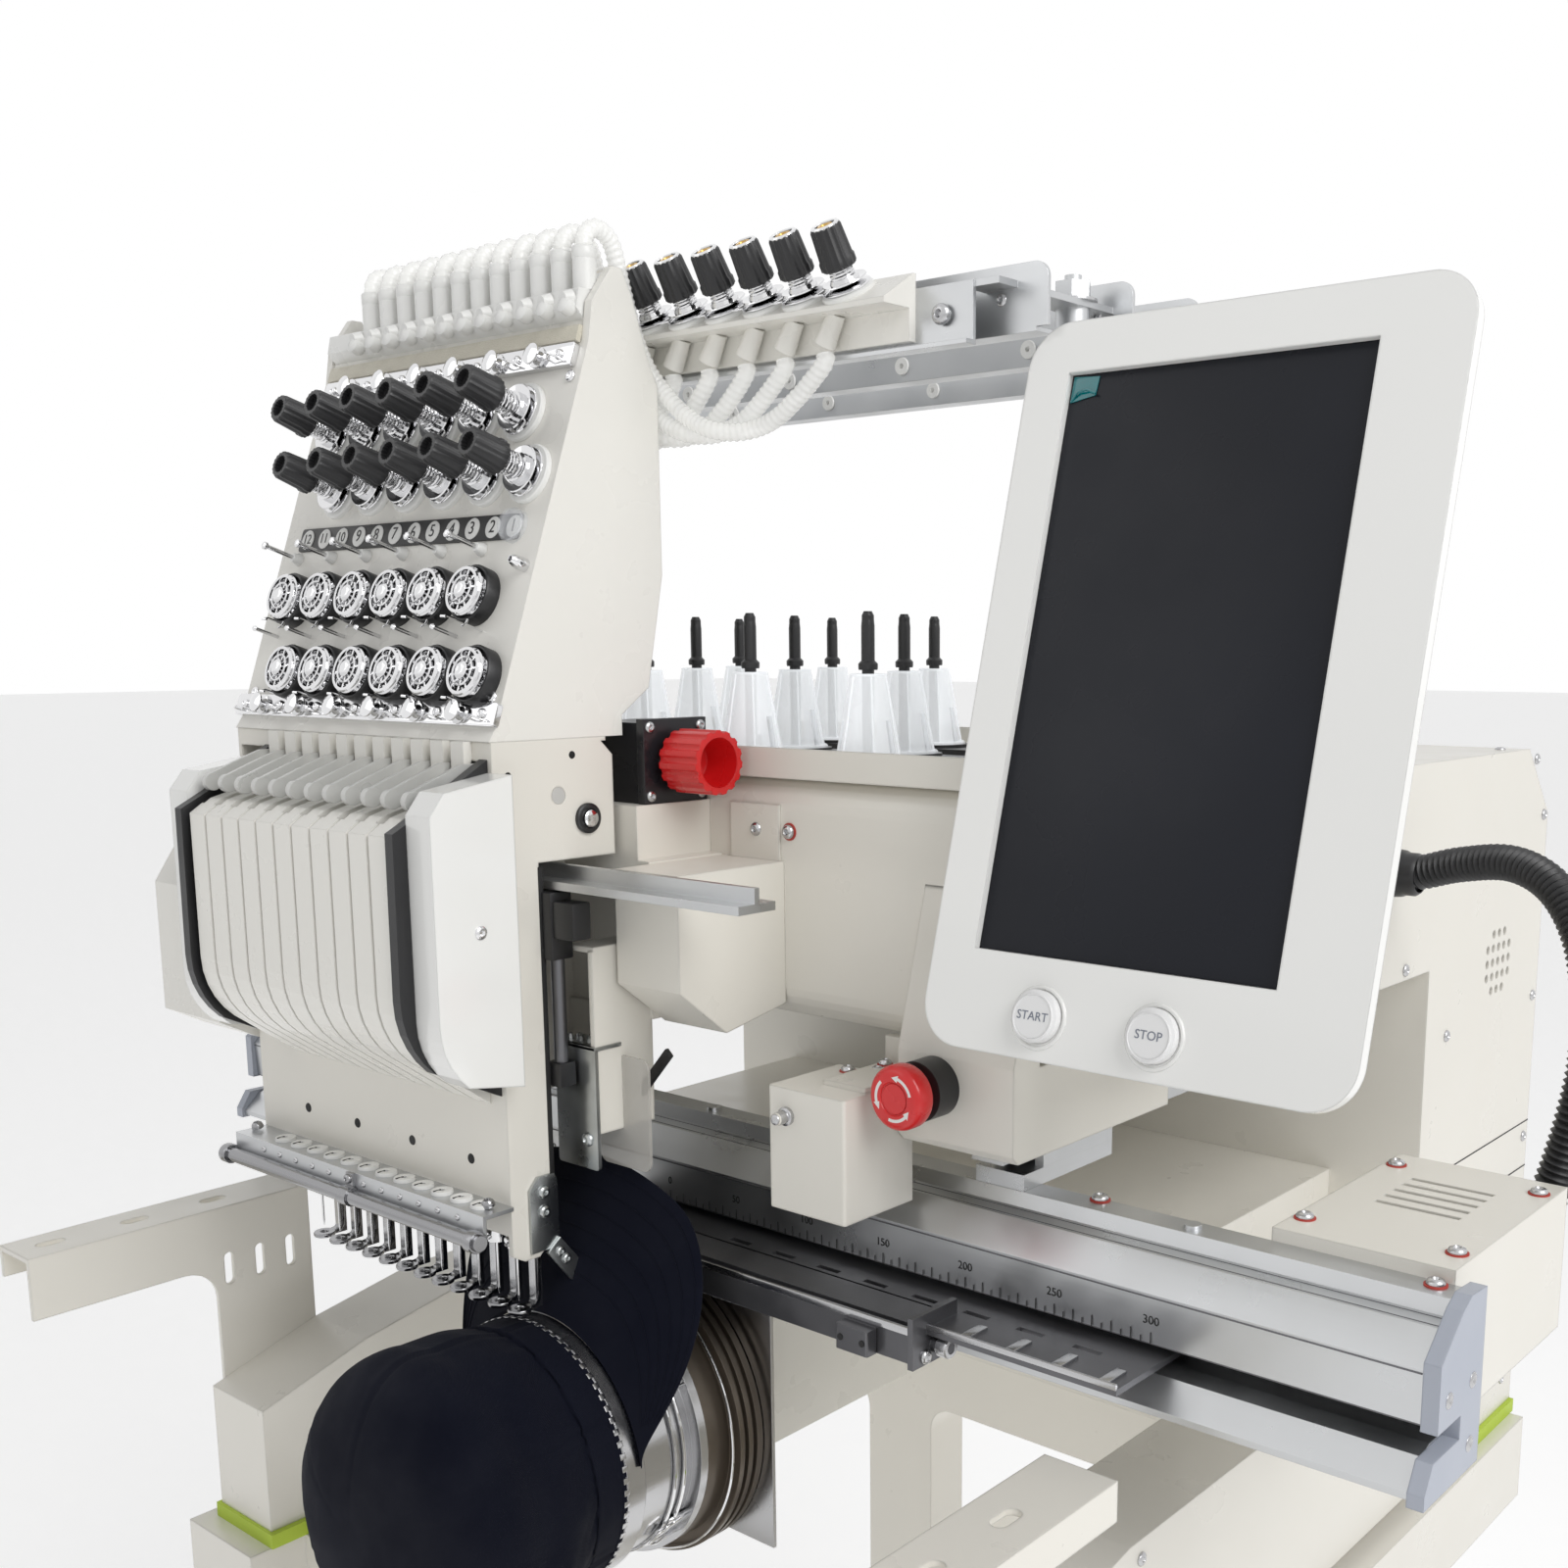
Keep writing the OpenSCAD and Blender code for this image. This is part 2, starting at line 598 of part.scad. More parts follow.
module thread_tubes() color([0.95, 0.95, 0.95]) datum() {
    for (i = [0 : needle_n - 1]) tube([for (p = tube_yz) tube_point(i, p)], tube_r, tube_sides);
}

xm_x = [rail_half - 87, rail_half - 6];
xm_y = [rail_depth - 1, 175];
xm_z = [-18, 50];

// Corrugated conduit from the housing to the X motor
conduit_points = concat(
    [for (p = [[1, 261, 176], [20, 261, 177], [45, 256, 184], [75, 246, 188], [100, 234, 180]]) p + [house_half, 0, 0]],
    [for (p = [[23, 222, 160], [13, 212, 130], [11, 206, 100], [14, 202, 72], [19, 200, 48], [24, 197, 28],
        [27, 191, 17], [28, 184, 14], [28, xm_y[1] + 0.4, 14]]) [rail_half - p[0], p[1], p[2]]]);
module panel_conduit() color(dark) datum() tube(conduit_points, 9, 8);

// ---- X beam ----
module x_beam() color(silver) datum() {
    d = rail_depth;
    side_profile([[0, 1], [-1, 24], [11, 37], [24, 37], [26, 44], [d - 1, 44], [d - 1, 1]], [-rail_half, rail_half]);
    side_profile([[24, 1], [d - 1, 1], [d - 1, -9], [24, -9]], [-rail_half, rail_half]);
    side_profile([[24, -9], [d - 1, -9], [d - 1, -20], [0, -20], [-9, -25], [-11, -25], [-11, -22], [0, -11.5],
        [8, -9]], [-rail_half, rail_half]);
    // Screw heads on top
    for (x = [-300, 0, 120, 300]) bar_z(4, x, 33, [44, 46]);
}

module beam_end_caps() color([0.7, 0.72, 0.78]) datum() {
    both_sides() side_profile([[41, 47], [25, 48], [17, 44], [-3, 28], [-3, 0], [20, 0], [20, -10], [-6, -10],
        [-13, -21], [-13, -27], [41, -27]], [rail_half, rail_half + cap_t]);
}

module x_motor_cover() color(cream) datum() {
    difference() {
        slab(xm_x, xm_y, xm_z);
        for (i = [0 : 4]) slab([xm_x[0] + 20, xm_x[1] - 22], [100 + 10 * i, 103 + 10 * i], [xm_z[1] - 3, xm_z[1] + 1]);
    }
}

module y_sliders() color(silver) datum() {
    both_sides() {
        slab([yg_x - 14, yg_x + 14], [rail_depth - 16, rail_depth + 60], [44, 52]);
        for (s = [-1, 1]) slab([yg_x + s * 11.55 - 2.5, yg_x + s * 11.55 + 2.5], [beam_y + 30, rail_depth + 60], [52, 64]);
    }
}

// ---- X carriage ----
module x_carriage() color([0.45, 0.45, 0.47]) datum() {
    difference() {
        slab([-40, 308], [-40, 20], [-6, -3]);
        for (x = [60 : 30 : 290]) slab([x, x + 14], [-16, -12.5], [-10, 0]);
    }
    // Guide block in the slot of the X beam
    slab([-30, 300], [10, 24 - run_gap], [-9 + run_gap, 1 - run_gap]);
    slab([34, 206], [-45, -19], [-20, -6]);
    slab([206, 209], [-50, -18], [-20, 4]);
    bar_x(4, [209, 218], -34, -12);
    round_slab([165, 184], [-52, -45], [-20, -8], 1);
    // Drive strip tangent to the ring
    slab([-60, 60], [ring_y[0] + 16, ring_y[1] - 1], [strip_z, strip_z + 3]);
    slab([34, 60], [ring_y[0] + 16, ring_y[1] - 1], [strip_z + 3, -20]);
}

// ---- Cap driver ----
ring_y = [-45, -14];
strip_z = -cap_drop + ring_r + 0.3;
module cap_axis() { translate([0, 0, -cap_drop]) rotate([90, 0, 0]) children(); }
module ring_between(r, bore, y) {
    cap_axis() translate([0, 0, -y[1]]) difference() {
        cylinder(r = r, h = y[1] - y[0], $fn = 96);
        translate([0, 0, -1]) cylinder(r = bore, h = y[1] - y[0] + 2, $fn = 96);
    }
}
module driver_ring() color([0.3, 0.27, 0.24]) datum() {
    difference() {
        union() {
            ring_between(ring_r, ring_bore, [-30, ring_y[1]]);
            ring_between(ring_r - 8, ring_bore, [ring_y[0], -30]);
        }
        for (y = [-27, -21]) ring_between(ring_r + 1, ring_r - 3, [y, y + 3]);
    }
}

hub_t = 5;
module driver_hub() color(silver) datum() {
    ring_between(ring_bore - run_gap, ring_bore - hub_t, [ring_y[0] + 4, ring_y[1] + 1]);
    // Plate that hangs the hub from the X beam
    difference() {
        slab([-86, 86], [ring_y[1] + 0.5, ring_y[1] + 2.5], [-cap_drop - 60, -25.4]);
        cap_axis() translate([0, 0, -20]) cylinder(r = ring_bore - hub_t, h = 60, $fn = 96);
    }
    slab([-86, 86], [ring_y[1] + 0.5, 4], [-28, -25.4]);
    slab([-86, 86], [4, 40], [-28, -20]);
}

frame_y = [-97, -50];
frame_in = ring_bore - 3.5;
module cap_frame() color("silver") datum() {
    // Inner cylinder that carries the cap, clipped to the driver ring
    ring_between(strap_r - 3.5, frame_in, [frame_y[0], ring_y[0]]);
    ring_between(ring_r - 8, frame_in, [frame_y[1], ring_y[0]]);
    // Toothed strap over the sweatband
    difference() {
        ring_between(strap_r, strap_r - 3.6, [-96, -84]);
        for (a = [0 : 7.5 : 352.5]) cap_axis() rotate(a) translate([strap_r, 0, 90]) cylinder(r = 1.2, h = 12);
    }
}

crown_r = strap_r - 1;
cloth = 2.5;
crown_tilt = 8;
bulge = 8;
dome_d = 42;
// Half profile of the crown, its wall drawn in by t
function crown_side(t) = concat([[crown_r - 4 - t, -20], [crown_r - t, 0], [crown_r + bulge - 1 - t, dome_d]],
    [for (i = [1 : 8]) let (a = 90 * i / 9) [(crown_r + bulge - t) * cos(a), dome_d + (crown_h - dome_d - t) * sin(a)]],
    [[0, crown_h - t]]);
module cap_crown() color([0.05, 0.07, 0.15]) datum() difference() {
    translate([0, frame_y[0] - 0.4, -cap_drop]) rotate([90 + crown_tilt, 0, 0]) rotate_extrude($fn = 72)
        polygon(concat(crown_side(0), [for (i = [len(crown_side(0)) - 1 : -1 : 0]) crown_side(cloth)[i]]));
    slab([-100, 100], [frame_y[0] - 0.4, 0], [-300, 0]);
    // The line the needle stitches along stays open over the upper half, for every turn of the cap
    slab([-100, 100], [-needle_y - 3.5, 0], [-cap_drop + 14, 0]);
}

module cap_visor() color([0.05, 0.07, 0.15]) datum() {
    cap_axis() intersection() {
        translate([0, 0, 52]) rotate_extrude($fn = 72)
            polygon([[strap_r + 75, 0], [strap_r + 78, 0], [strap_r + 3.4, 36], [strap_r + 0.4, 36]]);
        translate([0, 0, 50]) linear_extrude(40) polygon([[-10, 10], [10, 10], [105, 45], [80, 170], [-80, 170], [-105, 45]]);
    }
}

// ---- Needle case ----
case_right = 11;
case_left = needle_x(needle_n - 1) - 36;
case_x = [case_left, case_right];
plate_t = 3;
case_front = -113;
case_back = -88.5;
rear_back = -41;
guide_hi = [150, 160];
guide_lo = [20, 32];
lever_pivot = [-75, 225];
shoe_x = [-125, -70];

module case_frame() color(cream) datum() {
    difference() {
        union() {
            for (x = [[case_left, case_left + plate_t], [case_right - plate_t, case_right]])
                side_profile([[case_front, 4], [case_front, 252], [-50, 252], [rear_back, 243], [rear_back, 194],
                    [case_back, 194], [case_back, 8], [-97, 0], [-106, 0]], x);
            slab(case_x, [case_front, case_front + 2], [14, 158]);
            slab(case_x, [case_front, case_front + 2], [243, 252]);
            slab(case_x, [case_front, -45], [250, 252]);
            slab(case_x, [case_front, case_back], guide_hi);
            slab(case_x, [case_front, case_back], guide_lo);
            slab(case_x, [-60, -56], [194, 252]);
            // Slide shoes that run on the upper guide
            for (x = shoe_x) difference() {
                slab([x, x + 24], [case_back, guide_y[0] + 8.5], [guide_hi[0], guide_z + 13]);
                slab([x - 1, x + 25], [guide_y[0] - run_gap, 0], [guide_z - run_gap, guide_z + 4 + run_gap]);
            }
        }
        for (i = [0 : needle_n - 1]) {
            bar_z(bar_d / 2 + run_gap, needle_x(i), -needle_y, [0, 240]);
            slab([needle_x(i) - 2.6, needle_x(i) + 2.6], [-94.1, -89.9], [10, 64]);
        }
        bar_x(4 + run_gap, [case_left - 1, case_right + 1], lever_pivot[0], lever_pivot[1]);
    }
}

module needle_bar(i) {
    bar_z(bar_d / 2, needle_x(i), -needle_y, [10, 205]);
    bar_z(4.5, needle_x(i), -needle_y, [4, 10]);
    bar_z(0.6, needle_x(i), -needle_y, [-21, 4]);
    translate([needle_x(i), -needle_y, -24]) cylinder(r1 = 0.15, r2 = 0.6, h = 3);
}
module needle_bars() color("silver") datum() for (i = [1 : needle_n - 1]) needle_bar(i);
module needle_bar_1() color("silver") datum() needle_bar(0);

module presser_foot(i) {
    translate([needle_x(i), -needle_y, -30]) difference() {
        cylinder(r = 5.5, h = 2);
        translate([0, 0, -1]) cylinder(r = 2.2, h = 4);
    }
    slab([needle_x(i) - 2.5, needle_x(i) + 2.5], [-98.2, -90], [-30, -28]);
    slab([needle_x(i) - 2.5, needle_x(i) + 2.5], [-94, -90], [-28, 60]);
}
module presser_feet() color("silver") datum() for (i = [1 : needle_n - 1]) presser_foot(i);
module presser_foot_1() color("silver") datum() presser_foot(0);

// Take-up lever: a claw from the pivot shaft to the eyelet
eyelet = [-149, 227];
module take_up_lever(i) {
    side_profile([[lever_pivot[0] - 2, lever_pivot[1] - 6], [lever_pivot[0] + 7, lever_pivot[1]],
        [lever_pivot[0] - 2, lever_pivot[1] + 8], [-100, 242], [-122, 242], [-138, 236],
        [eyelet[0], eyelet[1] + 4.5], [eyelet[0], eyelet[1] - 4.5], [-134, 226], [-118, 231], [-98, 229]],
        [needle_x(i) - 1.2, needle_x(i) + 1.2]);
    bar_x(4.5, [needle_x(i) - 1.8, needle_x(i) + 1.8], eyelet[0], eyelet[1]);
}
module take_up_levers() color("silver") datum() {
    difference() {
        for (i = [1 : needle_n - 1]) take_up_lever(i);
        bar_x(4, [case_left - 1, case_right + 1], lever_pivot[0], lever_pivot[1]);
    }
    bar_x(4, case_x, lever_pivot[0], lever_pivot[1]);
}
module take_up_lever_1() color("silver") datum() difference() {
    take_up_lever(0);
    bar_x(4 + run_gap, [-5, 5], lever_pivot[0], lever_pivot[1]);
}

// Guards: curved slats between the levers
slat_profile = concat([[-113, 252], [-113, 244], [-124, 222], [-150, 214], [-157, 206]],
    [[-158, 140]], arc([-118, 138], 40, 178, 228, 5), [[-113, 84]],
    [[-113, 79]], arc([-118, 138], 44.5, 230, 180, 5), [[-162.5, 212], [-152, 219], [-127, 226], [-118, 240], [-118, 252]]);
module guard_slats() color(cream) datum() {
    for (i = [1 : needle_n - 1]) difference() {
        side_profile(slat_profile, [needle_x(i) + needle_pitch / 2 - 7, needle_x(i) + needle_pitch / 2 + 7]);
        for (s = [-1, 1]) slab([needle_x(i) + needle_pitch / 2 + s * 8 - 3.2, needle_x(i) + needle_pitch / 2 + s * 8 + 3.2],
            [-155.4, -100], [150, 260]);
    }
}

trim_profile = concat([[-113, 244], [-150, 222], [-165, 214], [-165.5, 140]], arc([-118, 138], 47.5, 180, 228, 5),
    [[-113, 84]]);
module side_trims() color(dark) datum() {
    side_profile(trim_profile, [case_right - 9, case_right - 3]);
    side_profile(trim_profile, [needle_x(needle_n - 1) - 9, needle_x(needle_n - 1) - 3]);
}
module side_covers() color("white") datum() {
    for (x = [[case_right - 3, case_right + 15], [needle_x(needle_n - 1) - 27, needle_x(needle_n - 1) - 9]])
        side_profile(concat([[-113, 238], [-150, 232], [-158, 222], [-158, 130]],
            arc([-118, 128], 40, 180, 230, 5), [[-113, 92]]), x);
}
module end_box() color(cream) datum() {
    side_profile([[-134, 165], [-100, 216], [-87, 216], [-87, 80], [-112, 80], [-134, 92]], [case_left - 63, case_left - 3]);
    slab([case_left - 3, case_left], [-112, -90], [100, 190]);
}

channel_z = [16, 30];
module foot_channel() color(silver) datum() {
    difference() {
        union() {
            slab([case_left, case_right + 2], [-131, case_front], [channel_z[1] - 2, channel_z[1]]);
            slab([case_left, case_right + 2], [-131, -129], channel_z);
        }
        for (i = [0 : needle_n - 1]) bar_z(3.2, needle_x(i), -122, [20, 40]);
    }
    for (i = [0 : needle_n - 1]) translate([needle_x(i), -122, channel_z[1] - 3]) difference() {
        union() { cylinder(r = 3.2, h = 4); translate([0, 0, 3]) cylinder(r = 5, h = 1.5); }
        cylinder(r = 1.2, h = 12, center = true);
    }
    bar_x(3.5, [case_left - 2, case_right + 2], -134, channel_z[0] + 2);
}

// ---- Tension board ----
board_x = [case_left, case_right];
board_base = [-110, 258];
module tension_board() color(cream) datum() {
    side_profile([[-114, 252], [-110, 258], [-47.5, 436], [-44.5, 447], [-31, 447], [-11, 433], [-5, 420],
        [-5, 330], [-16, 275], [-34, 262], [-34, 252]], board_x);
    // Side wings that rise past the comb
    for (x = [[case_left, case_left + 5], [case_right - 5, case_right]])
        side_profile([[-47.5, 436], [-44.5, 455], [-32, 472], [-26, 472], [-20, 460], [-11, 433]], x);
}
// Local frame on the board: X along the row, Y up the slope, Z out of the face
module on_board() {
    translate([0, board_base[0], board_base[1]]) rotate([90 - board_lean, 0, 0]) children();
}
// The upper row of each pair sits one needle further along than the lower row
function unit_x(k, row) = -needle_pitch / 2 - 2 * needle_pitch * k - row * needle_pitch;
row_v = [124, 156];
wheel_v = [24, 63.5];
module tension_unit() {
    cylinder(r = 14.5, h = 3);
    cylinder(r = 3, h = 31);
    translate([0, 0, 3]) cylinder(r = 10, h = 1.6);
    translate([0, 0, 5.4]) cylinder(r = 10, h = 1.6);
    translate([0, 0, 7]) cylinder(r = 5.5, h = 11);
    translate([0, 0, 4]) cylinder(r = 4, h = 2);
}
module tension_units() color("silver") datum() on_board() {
    for (row = [0, 1], k = [0 : 5]) translate([unit_x(k, row), row_v[row], 0]) tension_unit();
}
module tension_knob() difference() {
    translate([0, 0, 18.4]) cylinder(d1 = knob_d, d2 = knob_d - 3, h = 19);
    translate([0, 0, 18]) cylinder(r = 3 + run_gap, h = 22);
    translate([0, 0, 32]) cylinder(r = 4.5, h = 8);
}
module tension_knobs() color(dark) datum() on_board() {
    for (row = [0, 1], k = [0 : 5]) if (k > 0 || row < 1) translate([unit_x(k, row), row_v[row], 0]) tension_knob();
}
module tension_knob_1() color(dark) datum() on_board() translate([unit_x(0, 1), row_v[1], 0]) tension_knob();

module wheel() difference() {
    union() {
        translate([0, 0, 8.3]) cylinder(r = wheel_d / 2, h = 2.5);
        translate([0, 0, 8.3]) cylinder(r = 4, h = 5);
    }
    for (a = [0 : 45 : 315]) rotate(a) translate([wheel_d / 4 + 1.4, 0, 8]) cylinder(r = 2, h = 4);
    translate([0, 0, 8]) cylinder(r = 2 + run_gap, h = 6);
}
module wheel_seat() {
    cylinder(r = wheel_d / 2 + 1.5, h = 8);
    cylinder(r = 2, h = 12);
}
module tension_wheels() color("silver") datum() on_board() {
    for (row = [0, 1], k = [0 : 5]) translate([unit_x(k, row), wheel_v[row], 0]) {
        wheel_seat();
        if (k > 0 || row < 1) wheel();
    }
}
module tension_wheel_1() color("silver") datum() on_board() translate([unit_x(0, 1), wheel_v[1], 0]) wheel();

module thread_clips() color("silver") datum() on_board() {
    translate([0, 182, 0]) slab([case_left + 6, case_right - 4], [-5, 5], [0, 3]);
    translate([0, 6, 0]) slab([case_left - 3, case_right + 3], [-5, 5], [0, 4]);
    for (v = [6, 182], k = [0 : 5]) translate([unit_x(k, 0), v, 3]) cylinder(r = 4, h = 5);
}
module thread_comb() color("white") datum() {
    side_profile([[-44.5, 447], [-49, 452], [-47, 461], [comb_y + 6, 461], [comb_y + 6, 447]],
        [case_left + 6, case_right - 6]);
    for (i = [0 : needle_n - 1]) translate([needle_x(i), 0, 0]) {
        translate([0, -48, 457]) rotate([100, 0, 0]) cylinder(r1 = 3.6, r2 = 2.6, h = 5);
        bar_z(5.6, 0, comb_y, [461, comb_z - 3]);
        translate([0, comb_y, comb_z - 3]) cylinder(r1 = 5.6, r2 = 4, h = 3);
    }
}

// ---- Control panel ----
panel_left = 204;
panel_x = [panel_left, panel_left + panel_w];
panel_o = [0, -40, 128];
hinge_v = 24;
hinge_w = 5.5;
hinge_x = [panel_left + 10, ph_x[1]];
hinge_y = panel_o[1] + hinge_v * sin(panel_lean) + (panel_t + hinge_w) * cos(panel_lean);
hinge_z = panel_o[2] + hinge_v * cos(panel_lean) - (panel_t + hinge_w) * sin(panel_lean);
module on_panel() {
    translate(panel_o) rotate([90 - panel_lean, 0, 0]) children();
}
module rounded_plate(x, y, r, h) {
    linear_extrude(h) {
        translate([x[0] + r, y[0]]) square([x[1] - x[0] - 2 * r, y[1] - y[0]]);
        translate([x[0], y[0] + r]) square([x[1] - x[0], y[1] - y[0] - 2 * r]);
        for (cx = [x[0] + r, x[1] - r], cy = [y[0] + r, y[1] - r]) translate([cx, cy]) circle(r = r);
    }
}
button_at = [[panel_x[0] + 60, 18.5], [panel_x[0] + 115, 18.5]];
module control_panel() color("white") datum() on_panel() {
    difference() {
        union() {
            translate([0, 0, -6]) rounded_plate(panel_x, [0, panel_h], panel_r, 6);
            translate([0, 0, -panel_t]) rounded_plate([panel_x[0] + 8, panel_x[1] - 8], [8, panel_h - 8], panel_r - 6, panel_t - 6);
            // Knuckle between the hinge ears
            translate([0, hinge_v, -panel_t]) slab([hinge_x[0] + ear_t + 0.3, hinge_x[1] - ear_t - 0.3], [-4, 4], [-hinge_w, 1]);
            translate([0, hinge_v, -panel_t]) bar_x(4.5, [hinge_x[0] + ear_t + 0.3, hinge_x[1] - ear_t - 0.3], 0, -hinge_w);
        }
        translate([0, hinge_v, -panel_t]) bar_x(pin_r + run_gap, hinge_x, 0, -hinge_w);
        translate([0, 0, -4]) slab([panel_x[0] + 22, panel_x[1] - 37], [43, panel_h - 23], [0, 10]);
        for (b = button_at) translate([b[0], b[1], -8]) cylinder(r = button_d / 2 + run_gap, h = 20);
    }
}
module button(b) color("white") datum() on_panel() translate([b[0], b[1], -6 + button_travel]) {
    cylinder(r = button_d / 2, h = 8);
    translate([0, 0, 8]) cylinder(r1 = button_d / 2, r2 = button_d / 2 - 2, h = 1);
}
module start_button() button(button_at[0]);
module stop_button() button(button_at[1]);

stand_frame();
leveling_feet();
damping_pads();
base_arms();
base_deck();
cylinder_bed();
needle_plate();
rotary_hook();
table_brackets();
rear_housing();
head_beam();
panel_housing();
head_arm();
arm_covers();
linear_guides();
color_motor();
color_knob();
spool_tray();
spool_pins();
spool_cones();
thread_tree();
upper_tension_bar();
upper_tension_units();
thread_tubes();
panel_conduit();
x_beam();
beam_end_caps();
x_motor_cover();
y_sliders();
driver_hub();
x_carriage();
driver_ring();
cap_frame();
cap_crown();
cap_visor();
case_frame();
tension_board();
tension_units();
tension_knobs();
tension_wheels();
thread_clips();
thread_comb();
guard_slats();
side_trims();
side_covers();
end_box();
take_up_levers();
needle_bars();
presser_feet();
foot_channel();
take_up_lever_1();
needle_bar_1();
presser_foot_1();
tension_knob_1();
tension_wheel_1();
control_panel();
start_button();
stop_button();
stop_base();
stop_head();
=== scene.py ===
import json
from math import atan2, cos, degrees, exp, pi, radians, sin

import bmesh
import bpy
from mathutils import Matrix, Vector, noise as field


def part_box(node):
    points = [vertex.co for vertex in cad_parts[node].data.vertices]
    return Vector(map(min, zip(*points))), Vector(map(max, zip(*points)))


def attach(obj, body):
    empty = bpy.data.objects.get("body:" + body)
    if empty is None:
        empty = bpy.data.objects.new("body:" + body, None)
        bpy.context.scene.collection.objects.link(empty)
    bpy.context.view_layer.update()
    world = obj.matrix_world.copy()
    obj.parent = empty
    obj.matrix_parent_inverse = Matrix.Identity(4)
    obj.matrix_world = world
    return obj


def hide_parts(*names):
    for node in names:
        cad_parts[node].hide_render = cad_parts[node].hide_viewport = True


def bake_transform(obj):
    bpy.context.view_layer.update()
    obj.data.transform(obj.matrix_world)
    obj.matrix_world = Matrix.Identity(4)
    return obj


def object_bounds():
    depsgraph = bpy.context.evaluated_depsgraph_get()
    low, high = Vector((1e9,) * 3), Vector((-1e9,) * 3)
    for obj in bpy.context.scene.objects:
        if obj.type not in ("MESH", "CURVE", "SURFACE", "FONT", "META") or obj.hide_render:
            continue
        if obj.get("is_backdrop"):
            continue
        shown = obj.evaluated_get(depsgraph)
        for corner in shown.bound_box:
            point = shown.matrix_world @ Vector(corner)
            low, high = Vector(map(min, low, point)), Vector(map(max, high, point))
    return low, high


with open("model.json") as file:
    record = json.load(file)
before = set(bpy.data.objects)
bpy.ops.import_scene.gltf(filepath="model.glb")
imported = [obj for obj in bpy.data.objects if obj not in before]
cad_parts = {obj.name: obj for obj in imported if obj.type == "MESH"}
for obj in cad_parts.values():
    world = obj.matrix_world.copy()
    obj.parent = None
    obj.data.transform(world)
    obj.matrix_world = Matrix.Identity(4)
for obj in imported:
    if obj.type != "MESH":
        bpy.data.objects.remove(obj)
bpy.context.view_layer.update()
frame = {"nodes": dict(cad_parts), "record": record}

scene = bpy.context.scene
MM = 0.001
MID_Y = 151
RAIL_Z = 880
NEEDLES = 12
PITCH = 15.8
CASE = "needle_case"
UP, FRONT, RIGHT = (0, 0, 1), (0, -1, 0), (1, 0, 0)
DATUM = Matrix.Translation((0, -MID_Y * MM, RAIL_Z * MM)) @ Matrix.Scale(MM, 4)


def at(x, y, z):
    """A place in the CAD's working datum, in millimetres, as a point of the row frame in metres."""
    return Vector((x * MM, (y - MID_Y) * MM, (z + RAIL_Z) * MM))


def leaning(origin, lean):
    """A local frame in millimetres: X along the machine, Y up a face that leans back by lean, Z out of it."""
    c, s = cos(radians(lean)), sin(radians(lean))
    return DATUM @ Matrix.Translation(origin) @ Matrix(((1, 0, 0), (0, s, -c), (0, c, s))).to_4x4()


def sideways(origin):
    """A local frame on a right side wall: X towards the rear, Y up, Z out of the wall."""
    return DATUM @ Matrix.Translation(origin) @ Matrix(((0, 0, 1), (1, 0, 0), (0, 1, 0))).to_4x4()


def spun(angle, place=(0, 0, 0), axis="Z"):
    """A turn by an angle in degrees, at a place."""
    return Matrix.Translation(place) @ Matrix.Rotation(radians(angle), 4, axis)


def facing(along):
    """A turn that points Z along a vector."""
    return Vector(along).to_track_quat("Z", "Y").to_matrix().to_4x4()


def aimed(place, along):
    """A frame at a place whose Z points along a vector."""
    return Matrix.Translation(place) @ Vector(UP).rotation_difference(along).to_matrix().to_4x4()


BOARD = leaning((0, -110, 258), 19.3)
PANEL = leaning((0, -40, 128), 15)
UPPER = leaning((0, 8, 452), 58)
NEEDLE_X = [-PITCH * i for i in range(NEEDLES)]
UPPER_X = [125 - 25.4 * i for i in range(NEEDLES)]


def add(name, data):
    """A new object in the scene."""
    thing = bpy.data.objects.new(name, data)
    bpy.context.collection.objects.link(thing)
    return thing


# ---- Camera, at the photograph's viewing angle ----
camera_data = bpy.data.cameras.new("camera")
camera_data.sensor_width = 36
camera_data.lens = 38.35
camera_data.shift_x = -0.0859
camera_data.shift_y = 0.0999
camera_data.clip_start = 0.05
camera = add("camera", camera_data)
scene.camera = camera
cam_right = Vector((0.7765, 0.6301, 0))
cam_ahead = Vector((-0.6203, 0.7644, -0.1757))
cam_turn = Matrix((cam_right, cam_right.cross(cam_ahead), -cam_ahead)).transposed().to_4x4()
camera.matrix_world = Matrix.Translation(at(647.6, -586.3, 297.1)) @ cam_turn


# ---- Materials ----
FINISH, SLOT_OF = {}, {}
ROUGH_SWING, COAT_ROUGH, RELIEF_DEPTH, SMUDGE_SCALE = 0.25, 0.08, 0.001, 28
NOISE_LOW, NOISE_HIGH = 0.3, 0.7


def put(node, **values):
    """Sets a node's inputs; an underscore in a name stands for a space."""
    for name, value in values.items():
        node.inputs[name.replace("_", " ")].default_value = value


def noise(nodes, links, coord, scale, detail, stretch=None):
    tex = nodes.new("ShaderNodeTexNoise")
    put(tex, Scale=scale, Detail=detail)
    if stretch:
        mapping = nodes.new("ShaderNodeMapping")
        put(mapping, Scale=stretch)
        links.new(coord, mapping.inputs["Vector"])
        coord = mapping.outputs[0]
    links.new(coord, tex.inputs["Vector"])
    return tex.outputs["Fac"]


def spread(nodes, links, value, low, high):
    """A noise value between its usual bounds, spread from low to high."""
    ramp = nodes.new("ShaderNodeMapRange")
    put(ramp, From_Min=NOISE_LOW, From_Max=NOISE_HIGH, To_Min=low, To_Max=high)
    links.new(value, ramp.inputs["Value"])
    return ramp.outputs["Result"]


